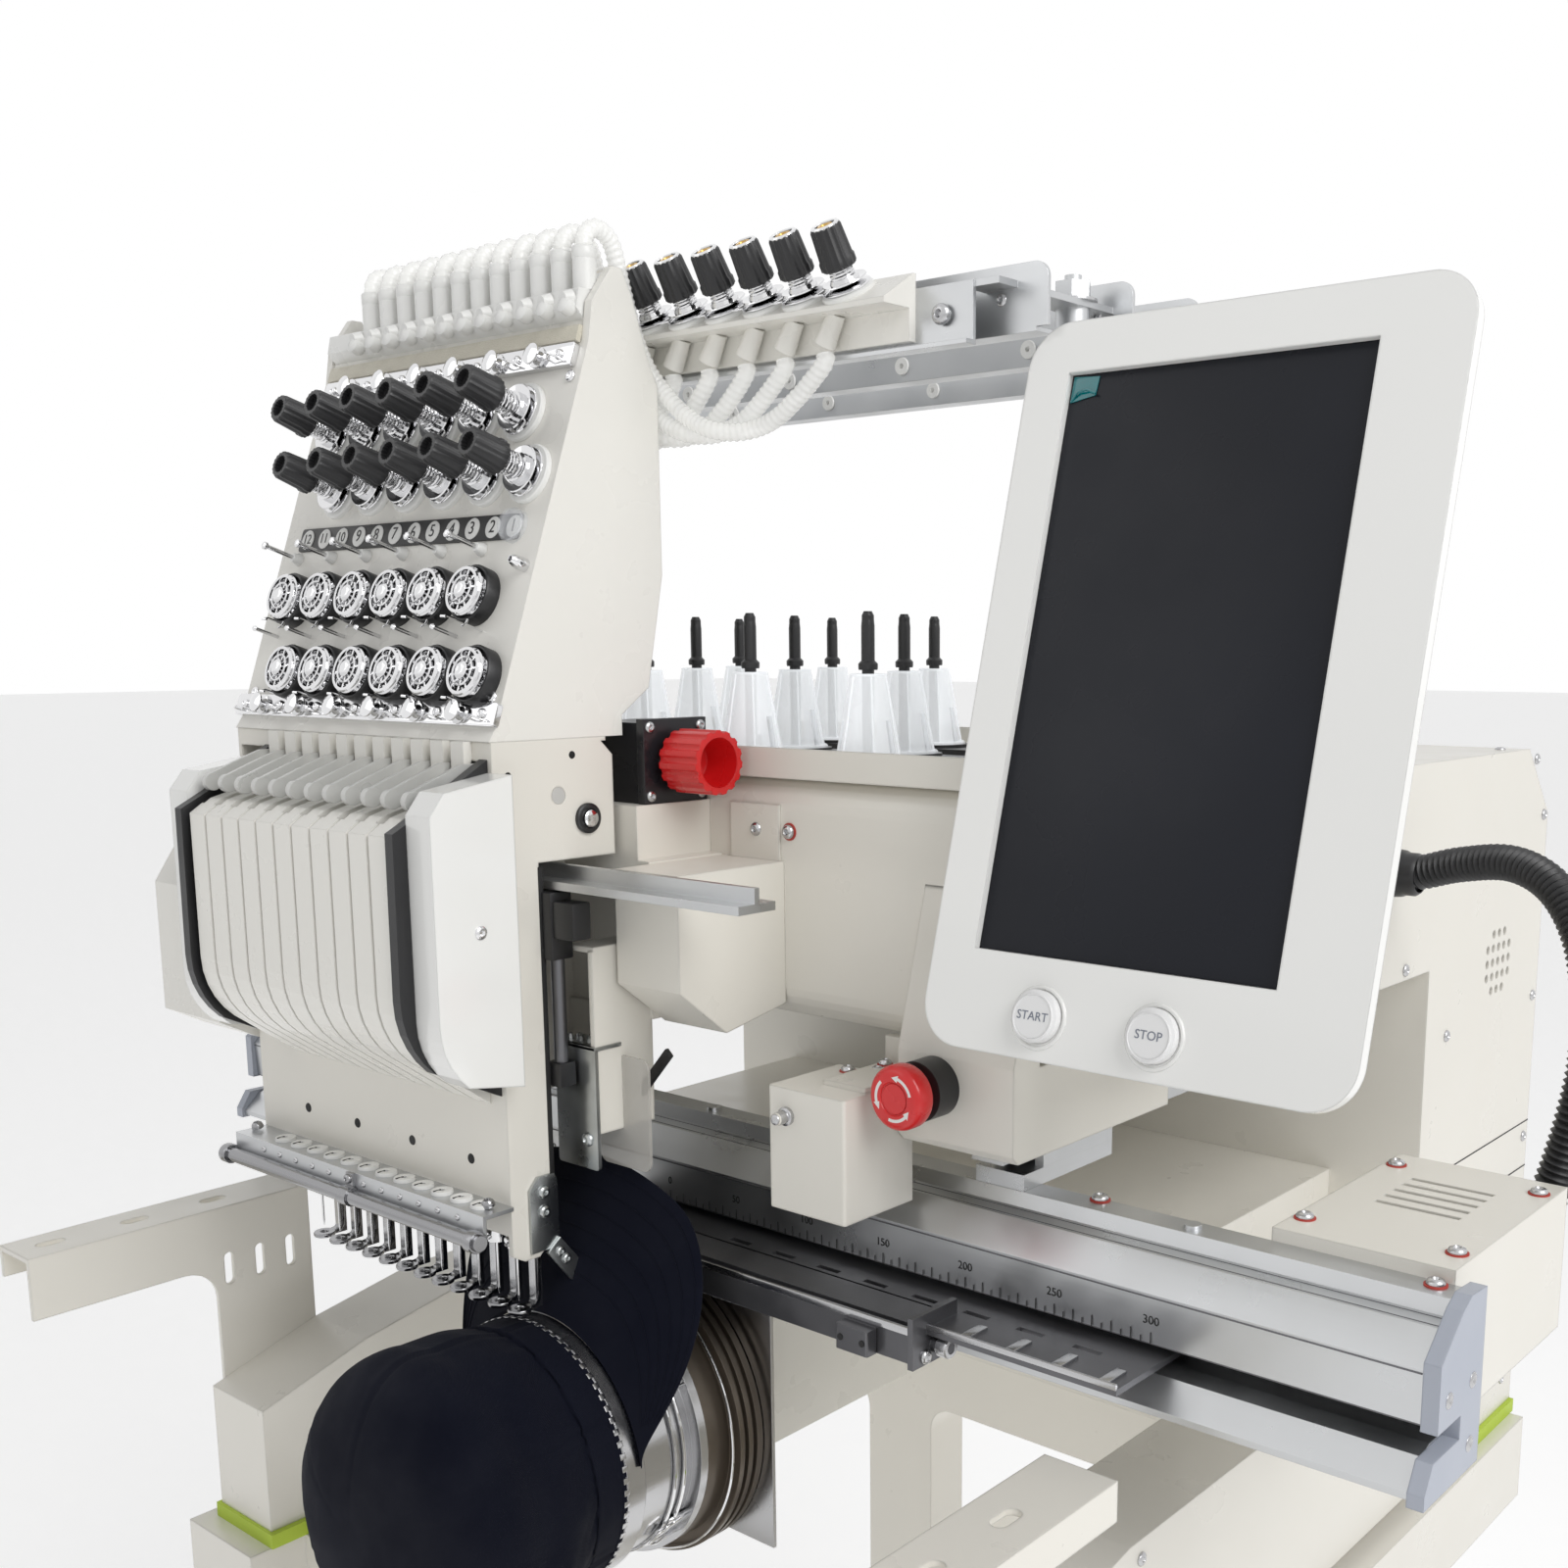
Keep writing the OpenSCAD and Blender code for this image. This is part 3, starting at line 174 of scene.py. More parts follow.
def twill(nodes, links, coord, scale):
    """The slanting threads of a twill."""
    wave = nodes.new("ShaderNodeTexWave")
    wave.bands_direction = "DIAGONAL"
    put(wave, Scale=scale, Distortion=1.5, Detail=2)
    links.new(coord, wave.inputs["Vector"])
    return wave.outputs["Fac"]


def surface(name, color, rough, metal=0, tint=0.94, grain=900, bump=0.03, stretch=None, edge=0, coat=0,
            sheen=0, patch=6, weave=0, alpha=1, shine=0.5, glow=0, slot=None):
    """A finish with slow colour patches, varying gloss and a fine relief. edge rounds the sharp CAD edges by so
    many millimetres. slot is the record's slot that the finish belongs to, where it isn't one itself."""
    mat = bpy.data.materials.new(name)
    mat.use_nodes = True
    nodes, links = mat.node_tree.nodes, mat.node_tree.links
    nodes.clear()
    bsdf = nodes.new("ShaderNodeBsdfPrincipled")
    links.new(bsdf.outputs[0], nodes.new("ShaderNodeOutputMaterial").inputs[0])
    coord = nodes.new("ShaderNodeTexCoord").outputs["Object"]
    mix = nodes.new("ShaderNodeMix")
    mix.data_type = "RGBA"
    links.new(spread(nodes, links, noise(nodes, links, coord, patch, 2), 0, 1), mix.inputs[0])
    mix.inputs[6].default_value = (*color, 1)
    mix.inputs[7].default_value = (*[c * tint for c in color], 1)
    links.new(mix.outputs[2], bsdf.inputs["Base Color"])
    smudge = noise(nodes, links, coord, SMUDGE_SCALE, 4)
    links.new(spread(nodes, links, smudge, rough * (1 - ROUGH_SWING), min(1, rough * (1 + ROUGH_SWING))),
              bsdf.inputs["Roughness"])
    put(bsdf, Metallic=metal, Coat_Weight=coat, Coat_Roughness=COAT_ROUGH, Sheen_Weight=sheen, Alpha=alpha,
        Emission_Color=(*color, 1), Emission_Strength=glow, Specular_IOR_Level=shine)
    relief = nodes.new("ShaderNodeBump")
    put(relief, Strength=bump, Distance=RELIEF_DEPTH)
    fine = twill(nodes, links, coord, weave) if weave else noise(nodes, links, coord, grain, 2, stretch)
    links.new(fine, relief.inputs["Height"])
    if edge:
        bevel = nodes.new("ShaderNodeBevel")
        bevel.samples = 4
        put(bevel, Radius=edge * MM)
        links.new(bevel.outputs[0], relief.inputs["Normal"])
    links.new(relief.outputs[0], bsdf.inputs["Normal"])
    FINISH[name], SLOT_OF[name] = mat, slot or name
    return mat


surface("cream_paint", (0.8, 0.775, 0.71), 0.34, tint=0.97, grain=1400, bump=0.06, edge=1.6, coat=0.12)
surface("cream_plastic", (0.85, 0.835, 0.785), 0.3, tint=0.975, grain=2200, edge=0.8)
surface("white_gloss", (0.88, 0.88, 0.86), 0.16, tint=0.985, grain=500, bump=0.01, edge=1.5, coat=0.4)
surface("black_plastic", (0.012, 0.012, 0.013), 0.36, tint=1.6, grain=3000, bump=0.12, edge=0.4)
surface("black_metal", (0.01, 0.01, 0.012), 0.3, tint=1.7, grain=1500, bump=0.05, edge=0.8)
surface("red_plastic", (0.72, 0.012, 0.014), 0.28, tint=0.85, grain=1500, edge=0.6, coat=0.2)
surface("green_pad", (0.5, 0.66, 0.06), 0.55, tint=0.9, bump=0.15, edge=0.8)
surface("aluminium", (0.6, 0.61, 0.62), 0.33, metal=1, tint=0.92, grain=260, stretch=(0.04, 1, 1), edge=0.4)
surface("grey_plastic", (0.43, 0.46, 0.53), 0.38, tint=0.93, grain=1600, bump=0.05, edge=1)
surface("chrome", (0.78, 0.78, 0.79), 0.07, metal=1, tint=0.95, grain=300, bump=0.004, edge=0.2)
surface("steel", (0.55, 0.55, 0.56), 0.22, metal=1, tint=0.88, grain=700, stretch=(1, 0.08, 1), edge=0.4)
surface("dark_steel", (0.17, 0.17, 0.18), 0.4, metal=0.85, tint=0.85, bump=0.05, edge=0.4)
surface("bronze", (0.15, 0.125, 0.1), 0.36, metal=0.7, tint=0.85, bump=0.04, edge=0.6)
# clear_plastic's glow is painted light: the plastic shines faintly in its own colour though it is no lamp
surface("clear_plastic", (0.96, 0.98, 1), 0.3, tint=0.98, grain=300, bump=0.02, alpha=0.5, glow=0.22)
surface("cap_cloth", (0.0032, 0.004, 0.0095), 0.92, tint=1.5, bump=0.35, sheen=0.02, weave=900, shine=0.12)
surface("button_blue", (0.86, 0.86, 0.86), 0.2, tint=0.98, bump=0.01, edge=0.8)
# Finishes of added details
surface("white_part", (0.84, 0.84, 0.82), 0.3, tint=0.97, grain=1500, bump=0.02, slot="cream_plastic")
surface("lever_grey", (0.62, 0.62, 0.6), 0.32, metal=0.25, tint=0.95, bump=0.02, edge=0.5, slot="chrome")
surface("dark_chrome", (0.34, 0.34, 0.35), 0.16, metal=1, tint=0.85, grain=500, bump=0.02, edge=0.3, slot="steel")
surface("gold", (0.62, 0.4, 0.12), 0.3, metal=1, tint=0.8, slot="chrome")
surface("print_black", (0.012, 0.012, 0.012), 0.5, tint=1.5, grain=2000, bump=0.02, slot="black_plastic")
surface("print_grey", (0.2, 0.22, 0.27), 0.5, tint=0.9, grain=2000, bump=0.02, slot="button_blue")
surface("print_white", (0.8, 0.8, 0.78), 0.5, tint=0.95, grain=2000, bump=0.02, slot="white_gloss")
surface("screen_glass", (0.008, 0.009, 0.013), 0.3, tint=1.4, grain=40, bump=0, edge=0.2, shine=0.2,
        slot="black_plastic")
surface("film", (0, 0.2, 0.22), 0.1, tint=0.7, grain=60, bump=0.1, coat=0.6, slot="black_plastic")
surface("felt", (0.72, 0.68, 0.56), 0.95, tint=0.85, grain=1800, bump=0.6, sheen=0.5, slot="cream_plastic")
surface("washer_red", (0.5, 0.05, 0.035), 0.6, tint=0.8, grain=1200, bump=0.1, slot="red_plastic")
surface("galvanised", (0.5, 0.52, 0.52), 0.33, metal=1, tint=0.8, grain=90, patch=60, slot="steel")
# tube_plastic's glow is painted light that brightens the tubes where they lie in shade
surface("tube_plastic", (0.95, 0.95, 0.93), 0.2, tint=0.97, grain=700, bump=0.02, coat=0.5, alpha=0.62,
        glow=0.12, slot="clear_plastic")
surface("lens_plastic", (0.9, 0.92, 0.95), 0.1, tint=0.97, grain=300, bump=0.01, coat=0.5, alpha=0.22,
        slot="clear_plastic")
surface("guard_plastic", (0.62, 0.6, 0.56), 0.2, tint=0.9, grain=200, bump=0.02, coat=0.3, alpha=0.55,
        slot="clear_plastic")
# hole is near black: painted shade inside the holes, vents and slots, and the dark lines of the seams
surface("hole", (0.006, 0.006, 0.006), 0.7, tint=1.4, bump=0.05, slot="black_plastic")

finishes = {s["node"]: s["material_slot"] for s in frame["record"]["subparts"]}
finishes.update(take_up_levers="lever_grey", take_up_lever_1="lever_grey", stop_button="button_blue",
                thread_comb="white_part", cylinder_bed="cream_plastic")
for node_name, node_object in frame["nodes"].items():
    for material_slot in node_object.material_slots:
        material_slot.material = FINISH[finishes[node_name]]


# ---- Mesh helpers ----
CURVE_STEPS = 24
BEVEL_SHAPE = dict(segments=2, profile=0.6, affect="EDGES", clamp_overlap=True)


def smooth_path(points, step):
    """Points a step apart on a smooth curve through the given points."""
    pts = [Vector(p) for p in points]
    ends = [2 * pts[0] - pts[1]] + pts + [2 * pts[-1] - pts[-2]]
    fine = []
    for a, b, c, d in zip(ends, ends[1:], ends[2:], ends[3:]):
        for k in range(CURVE_STEPS):
            t = k / CURVE_STEPS
            fine.append(0.5 * (2 * b + (c - a) * t + (2 * a - 5 * b + 4 * c - d) * t * t
                               + (3 * b - a - 3 * c + d) * t ** 3))
    fine.append(pts[-1])
    total = path_length(fine)
    count = max(2, round(total / step))
    out, walked, goal = [fine[0]], 0, total / count
    for p, q in zip(fine, fine[1:]):
        length = (q - p).length
        while length > 0 and walked + length >= goal - 1e-9 and len(out) < count:
            out.append(p.lerp(q, (goal - walked) / length))
            goal += total / count
        walked += length
    out.append(pts[-1])
    return out


def path_length(points):
    return sum((q - p).length for p, q in zip(points, points[1:]))


def polar(r, a):
    return r * cos(a), r * sin(a)


class Shape:
    """Parts of one finish on one body, gathered in one mesh. Sizes are millimetres of a local frame."""

    def __init__(self, local=DATUM):
        self.bm = bmesh.new()
        self.local = local

    def place(self, verts, turn=None):
        bmesh.ops.transform(self.bm, matrix=self.local @ (turn or Matrix()), verts=list(verts))

    def skin(self, rings, turn=None, loop=False, capped=True):
        """Faces from each ring of vertices to the next; a ring of one vertex is a pole."""
        faces = self.bm.faces
        for low, high in zip(rings, rings[1:] + rings[:loop]):
            sides = max(len(low), len(high))
            for k in range(sides):
                n = (k + 1) % sides
                if len(low) == 1:
                    faces.new((low[0], high[n], high[k]))
                elif len(high) == 1:
                    faces.new((low[k], low[n], high[0]))
                else:
                    faces.new((low[k], low[n], high[n], high[k]))
        if capped and not loop:
            for ring in (rings[0][::-1], rings[-1]):
                if len(ring) > 1:
                    faces.new(ring)
        self.place([v for ring in rings for v in ring], turn)

    def block(self, lo, hi, soft=0.4, turn=None):
        size = Vector(hi) - Vector(lo)
        middle = Matrix.Translation((Vector(hi) + Vector(lo)) / 2)
        made = bmesh.ops.create_cube(self.bm, size=1, matrix=middle @ Matrix.Diagonal((*size, 1)))["verts"]
        edges = {e for v in made for e in v.link_edges}
        cut = bmesh.ops.bevel(self.bm, geom=list(edges), offset=min(soft, 0.4 * min(size)), **BEVEL_SHAPE)
        self.place(cut["verts"], turn)

    def turned(self, profile, place=(0, 0, 0), along=UP, sides=24, flutes=0, depth=0, loop=False, turn=None):
        """A turned part from (radius, height) pairs. flutes cuts that many grooves of that depth in its side."""
        rings = []
        for r, h in profile:
            if r < 1e-6:
                rings.append([self.bm.verts.new((0, 0, h))])
                continue
            ring = []
            for k in range(sides):
                a = 2 * pi * k / sides
                rr = r - depth * (0.5 - 0.5 * cos(flutes * a)) if flutes else r
                ring.append(self.bm.verts.new((*polar(rr, a), h)))
            rings.append(ring)
        self.skin(rings, (turn or Matrix()) @ Matrix.Translation(place) @ facing(along), loop)

    def hoop(self, profile, place=(0, 0, 0), along=UP, sides=24):
        """A turned part whose profile closes on itself."""
        self.turned(profile, place, along, sides, loop=True)

    def disc(self, r, h, place, along=UP, sides=24, top=None, low=0):
        """A flat disc from height low to h; top is its upper radius."""
        self.turned([(0, low), (r, low), (top or r, h), (0, h)], place, along, sides)

    def ring(self, place, along, radius, wire, sides=24, section=8):
        around = [polar(wire, 2 * pi * k / section) for k in range(section)]
        self.hoop([(radius + x, y) for x, y in around], place, along, sides)

    def tube(self, points, radius, sides=8, turn=None):
        """A wire or hose along points. radius is one value, or a function of (ring, angle)."""
        pts = [Vector(p) for p in points]
        size = radius if callable(radius) else (lambda k, a: radius)
        side, rings = None, []
        for k, p in enumerate(pts):
            ahead = (pts[min(k + 1, len(pts) - 1)] - pts[max(k - 1, 0)]).normalized()
            side = ahead.orthogonal() if side is None else side
            side = (side - ahead * side.dot(ahead)).normalized()
            other = ahead.cross(side)
            angles = [2 * pi * j / sides for j in range(sides)]
            rings.append([self.bm.verts.new(p + size(k, a) * (side * cos(a) + other * sin(a))) for a in angles])
        self.skin(rings, turn)

    def coil(self, place, low, high, heights, turns, wire):
        """A spring that goes from radius low to radius high between the two heights."""
        steps = int(turns * 14)
        pts = []
        for k in range(steps + 1):
            t = k / steps
            x, y = polar(low + (high - low) * t, 2 * pi * turns * t)
            pts.append(Vector((x, y, heights[0] + (heights[1] - heights[0]) * t)))
        self.tube(pts, wire, 6, Matrix.Translation(place) @ facing(UP))

    def slab_from(self, outline, low, high, soft=0.4, turn=None):
        """A plate from an outline in local X and Y, between two heights, with softened rims."""
        bottom = [self.bm.verts.new((x, y, low)) for x, y in outline]
        top = [self.bm.verts.new((x, y, high)) for x, y in outline]
        count = len(outline)
        faces = [self.bm.faces.new(bottom[::-1]), self.bm.faces.new(top)]
        for k in range(count):
            n = (k + 1) % count
            self.bm.faces.new((bottom[k], bottom[n], top[n], top[k]))
        verts = bottom + top
        if soft:
            rims = {e for f in faces for e in f.edges}
            cut = bmesh.ops.bevel(self.bm, geom=list(rims), offset=soft, **BEVEL_SHAPE)
            verts = {v for v in verts if v.is_valid} | set(cut["verts"])
        self.place(verts, turn)

    def letters(self, text, place, size, thick):
        curve = bpy.data.curves.new("letters", "FONT")
        curve.body = text
        curve.size = size
        curve.align_x = curve.align_y = "CENTER"
        curve.extrude = thick
        curve.resolution_u = 3
        holder = add("letters", curve)
        bpy.context.view_layer.update()
        mesh = bpy.data.meshes.new_from_object(holder.evaluated_get(bpy.context.evaluated_depsgraph_get()))
        before = set(self.bm.verts)
        self.bm.from_mesh(mesh)
        bpy.data.objects.remove(holder)
        bpy.data.curves.remove(curve)
        bpy.data.meshes.remove(mesh)
        self.place([v for v in self.bm.verts if v not in before], Matrix.Translation(place))

    def screw(self, place, along=UP, r=3, h=1.6):
        """A pan head with a round recess."""
        self.turned([(r, 0), (r, 0.35 * h), (0.86 * r, 0.75 * h), (0.55 * r, h), (0.42 * r, h), (0.2 * r, 0.35 * h),
                     (0, 0.35 * h)], place, along, 20)

    def done(self, name, finish, body, replaces=(), sharp=38):
        """The finished object. sharp is the angle in degrees from which an edge stays sharp."""
        bmesh.ops.recalc_face_normals(self.bm, faces=self.bm.faces)
        mesh = bpy.data.meshes.new(name)
        self.bm.to_mesh(mesh)
        self.bm.free()
        mesh.shade_smooth()
        mesh.set_sharp_from_angle(angle=radians(sharp))
        mesh.materials.append(FINISH[finish])
        piece = add(name, mesh)
        if replaces:
            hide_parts(*replaces)
        if body:
            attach(piece, body)
        return piece


def shapes(count, local=DATUM):
    return [Shape(local) for _ in range(count)]


def rounded(x, y, r, steps=6):
    """The outline of a rounded rectangle."""
    out = []
    for cx, cy, start in ((x[1] - r, y[0] + r, -90), (x[1] - r, y[1] - r, 0), (x[0] + r, y[1] - r, 90),
                          (x[0] + r, y[0] + r, 180)):
        for k in range(steps + 1):
            dx, dy = polar(r, radians(start + 90 * k / steps))
            out.append((cx + dx, cy + dy))
    return out


# ---- Cords: the twelve coil tubes, and the corrugated conduit ----
COMB = (-39, 478.4)
TUBE_Y_Z_ACROSS = [(9.5, 427.3, 0), (9.5, 424.4, 0), (9.5, 419, 0.05), (9.5, 410, 0.16), (9.3, 402, 0.28),
                   (8.8, 398, 0.4), (4.5, 396.5, 0.5), (0.3, 398, 0.6), (0, 403, 0.72), (0, 411, 0.83),
                   (-0.2, 420, 0.92), (-3, 430, 0.98), (-8.5, 444, 1), (-13.5, 458, 1), (-18, 473, 1),
                   (-22, 485, 1), (-29, 490.3, 1), (-35.5, 489, 1), (-38.7, 484.2, 1), (COMB[0], COMB[1], 1)]
TUBE_R, TUBE_STEP, TUBE_TURN = 4.2, 0.8, 3.2
CONDUIT_R, CONDUIT_STEP, CONDUIT_RIB = 8.4, 0.9, 3.6


def thinned(line):
    """Every fourth point of the line and its end, in metres."""
    return [at(*p) for p in line[::4] if (p - line[-1]).length > 1.5] + [at(*line[-1])]


for i in range(NEEDLES):
    route = [((UPPER_X[i] - 16) * (1 - t) + NEEDLE_X[i] * t, y, z) for y, z, t in TUBE_Y_Z_ACROSS]
    line = smooth_path(route, TUBE_STEP)
    shape = Shape()
    shape.tube(line, lambda k, a: TUBE_R + 0.3 * cos(2 * pi * k * TUBE_STEP / TUBE_TURN - a), 10)
    tube = shape.done(f"thread_tube_{i + 1}", "tube_plastic", None, ["thread_tubes"] if i == 0 else (), sharp=80)
    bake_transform(tube)
    centre = thinned(line)

# The housing's side wall, the motor cover's end and the housing's rear
WALL, RAIL, REAR = 280, 421, 519.4
conduit_route = ([(WALL + x, y, z) for x, y, z in ((0.6, 261, 176), (20, 261, 177), (45, 256, 184),
                                                   (75, 246, 188), (100, 234, 180))]
                 + [(RAIL - x, y, z) for x, y, z in ((23, 222, 160), (13, 212, 130), (11, 206, 100), (14, 202, 72),
                                                     (19, 200, 48), (24, 197, 28), (27, 191, 17), (28, 184, 14),
                                                     (28, 175.4, 14))])
line = smooth_path(conduit_route, CONDUIT_STEP)
shape = Shape()
shape.tube(line, lambda k, a: CONDUIT_R + 0.9 * cos(2 * pi * k * CONDUIT_STEP / CONDUIT_RIB), 20)
conduit = shape.done("conduit", "black_plastic", None, ["panel_conduit"], sharp=80)
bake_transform(conduit)
centre = thinned(line)
shape = Shape(sideways((WALL + 1, 261, 176)))
shape.turned([(15, -2), (15, 1), (13.5, 3), (12.5, 12), (11.5, 14), (11.5, 19), (10, 21), (9.4, 21), (9.4, -2)],
             sides=32)
shape.done("conduit_gland", "black_plastic", "machine")

# ---- Tension units, knobs and wheels on the board ----
def knob(shape, place, r=8.6):
    """A fluted thumb nut whose head is cupped."""
    shape.turned([(0.62 * r, 0), (0.86 * r, 0), (r, 0.9), (r, 4.2), (0.93 * r, 5.2), (0.86 * r, 17.6),
                  (0.78 * r, 18.9), (0.56 * r, 18.9), (0.52 * r, 15.6), (0, 15.6)], place, UP, 64, 16, 0.55)


# Two staggered rows of units, the upper one second, and where each unit sits along the board
UNITS = [(row, k, -PITCH / 2 - 2 * PITCH * k - row * PITCH) for row in range(2) for k in range(6)]
bases, chromes, black, first_knob = shapes(4, BOARD)
for row, k, u in UNITS:
    v = 124 + 32 * row
    p = (u, v, 0)
    bases.turned([(14.6, 0), (14.6, 1.8), (13.9, 2.6), (11.2, 2.9), (0, 2.9)], p, sides=40)
    chromes.turned([(3.2, 2.9), (11.6, 2.9), (12.4, 3.7), (12, 4.2), (8.2, 4.9), (3.2, 5.2)], p, sides=40)
    chromes.turned([(3.2, 5.6), (8.4, 5.9), (11.8, 7), (11.3, 7.6), (7.6, 7.1), (7.2, 9.2), (5.2, 10.2),
                    (3.2, 10.2)], p, sides=40)
    chromes.coil(p, 6, 5.2, (10, 18.2), 4.5, 0.6)
    chromes.turned([(3, 2), (3, 33.2), (2.4, 34), (0, 34)], p, sides=16)
    # Take-up spring wire beside each unit
    chromes.tube([(u + 9, v - 6, 6.4), (u + 12.5, v - 9, 7.5), (u + 13.6, v - 12.6, 9.5), (u + 12.2, v - 15, 10.2),
                  (u + 10.6, v - 13.6, 9.6)], 0.45, 6)
    knob(first_knob if (row, k) == (1, 0) else black, (u, v, 18.4))
bases.done("unit_bases", "white_part", CASE)
chromes.done("unit_discs", "chrome", CASE, ["tension_units"])
black.done("board_knobs", "black_plastic", CASE, ["tension_knobs"])
first_knob.done("board_knob_1", "black_plastic", "tension_knob", ["tension_knob_1"])


def wheel(shape, p):
    """A check wheel with a grooved rim and ten spokes."""
    shape.hoop([(9.9, 8.4), (11.4, 8.4), (12, 9), (10.9, 9.9), (12, 10.8), (11.4, 11.6), (9.9, 11.6),
                (9.5, 10)], p, sides=40)
    shape.hoop([(6.3, 9), (7.3, 9), (7.4, 11.6), (6.9, 12.2), (6.3, 11.6)], p, sides=32)
    shape.turned([(0, 8.4), (3.4, 8.4), (4.6, 9.4), (4.4, 12.4), (3, 13.4), (1.6, 13.6), (0, 13)], p)
    for s in range(10):
        shape.block((3.2, -0.6, 9.1), (10.2, 0.6, 10.8), 0.25, spun(36 * s + 12, p))


seats, wheels, first_wheel, rims, collars = shapes(5, BOARD)
for row, k, u in UNITS:
    v = 24 + 39.5 * row
    p = (u, v, 0)
    seats.turned([(14.2, 0), (14.2, 6.6), (13.6, 7.4), (12.8, 7.4), (12.4, 6.6), (12.4, 2), (0, 2)], p, sides=44)
    rims.turned([(0, 2), (10.5, 2), (10.5, 4.6), (9.8, 5.2), (2, 5.2), (2, 8.3), (0, 8.3)], p, sides=32)
    wheel(first_wheel if (row, k) == (1, 0) else wheels, p)
    # Bent wire pin beside each wheel
    rims.tube([(u - 11.5, v - 11.5, 0), (u - 11.5, v - 11.5, 9), (u - 9.2, v - 13.4, 12.4),
               (u - 6.8, v - 13.2, 11.6)], 0.7, 6)
seats.done("wheel_seats", "black_plastic", CASE)
wheels.done("check_wheels", "chrome", CASE, ["tension_wheels"])
first_wheel.done("check_wheel_1", "chrome", "tension_wheel", ["tension_wheel_1"])

# Guide pins with their white collars, small pins and wire loops
for k in range(6):
    u = -31.1 - 32 * k
    rims.turned([(1.2, 0), (1.2, 19.5), (2.1, 20.2), (2.1, 21.6), (1.2, 22.2), (0, 22.2)], (u, 87.5, 0), sides=12)
    collars.turned([(0, 0), (3.4, 0), (3.4, 1.4), (2.2, 4.6), (0, 4.6)], (u, 87.5, 0), sides=20)
    rims.turned([(1, 0), (1, 13), (1.6, 13.6), (1, 14.6), (0, 14.6)], (-36 - 31.6 * k, 44.5, 0), sides=10)
    rims.tube([(-16.5 - 31.6 * k, 47, 0), (-16.5 - 31.6 * k, 47, 9), (-14.6 - 31.6 * k, 45.2, 12.6),
               (-12.4 - 31.6 * k, 46.6, 12.2), (-13.4 - 31.6 * k, 48.6, 11.2)], 0.6, 6)
rims.screw((4.3, 78.7, 0), r=3.2, h=9)
for u, v in ((3.5, 15), (-202, 13.5), (4.4, 172), (-203, 170)):
    rims.screw((u, v, 0))
rims.done("wheel_hubs_and_pins", "chrome", CASE)
collars.done("pin_collars", "white_part", CASE)

# Number strip: one white disc a needle, and a clear lens over the first
DOT_U, DOT_V = -9.8, 98.3
strip, dots, digits, lens = shapes(4, BOARD)
strip.slab_from(rounded((-193.5, -5.5), (92, 104.6), 1.4), 0, 1, 0.2)
for n in range(NEEDLES):
    u = DOT_U - 16.03 * n
    dots.turned([(0, 0.8), (5.4, 0.8), (5.4, 1.3), (5, 1.5), (0, 1.5)], (u, DOT_V, 0), sides=32)
    digits.letters(str(n + 1), (u, DOT_V, 1.55), 9 if n < 9 else 7.6, 0.12)
lens.turned([(0, 1.8), (7.4, 1.8), (7.4, 4.6), (6.6, 6), (3.2, 7.2), (0, 7.5)], (DOT_U, DOT_V, 0), sides=36)
lens.hoop([(8.3, 0), (8.3, 3.4), (7.5, 3.8), (7.5, 0)], (DOT_U, DOT_V, 0), sides=36)
strip.done("number_strip", "print_black", CASE)
dots.done("number_dots", "print_white", CASE)
digits.done("numbers", "print_black", CASE)
lens.done("number_lens", "lens_plastic", CASE)

# Clip plates above and below the units, and the felt under the comb
clips, felt = shapes(2, BOARD)
for v, lo, hi in ((182, -203, 6), (6, -212, 13)):
    clips.slab_from(rounded((lo, hi), (v - 5.6, v + 5.6), 1.2), 0, 3.2)
    for k in range(13):
        u = hi - 9.5 - (hi - lo - 19) * k / 12
        if k % 2:
            clips.turned([(4.6, 3), (5.4, 3.2), (5.4, 4.2), (2.6, 5.4), (2.6, 6.6), (5.2, 7.6), (5.2, 8.4),
                          (2.2, 9.4), (0, 9.4)], (u, v, 0), sides=28)
        else:
            clips.screw((u, v, 3.2), r=2.6, h=2)
            clips.tube([(u - 4, v - 3.4, 3), (u - 4, v - 3.4, 7), (u, v - 2.4, 8.4), (u + 4, v - 3.4, 7),
                        (u + 4, v - 3.4, 3)], 0.5, 6)
felt.slab_from([(-203, 188.4), (6, 188.4), (6, 196.4), (-203, 196.4)], 0.2, 3.4, 0.8)
clips.done("clip_plates", "chrome", CASE, ["thread_clips"])
felt.done("felt_strip", "felt", CASE)

# Comb sockets where the tubes come down
sockets = Shape()
for x in NEEDLE_X:
    sockets.hoop([(4.3, 3), (5.4, 3), (5.8, 3.6), (5.8, 8), (5.3, 8.8), (4.6, 9), (4.3, 8.6)], (x, COMB[0], 472),
                 sides=28)
    sockets.turned([(0, 0), (3.6, 0), (4.2, 1.4), (3.8, 5.6), (2.2, 6.8), (0, 6.8)], (x, -47.5, 451.5),
                   (0, -0.9, 0.3), 20)
sockets.done("comb_sockets", "white_part", CASE)

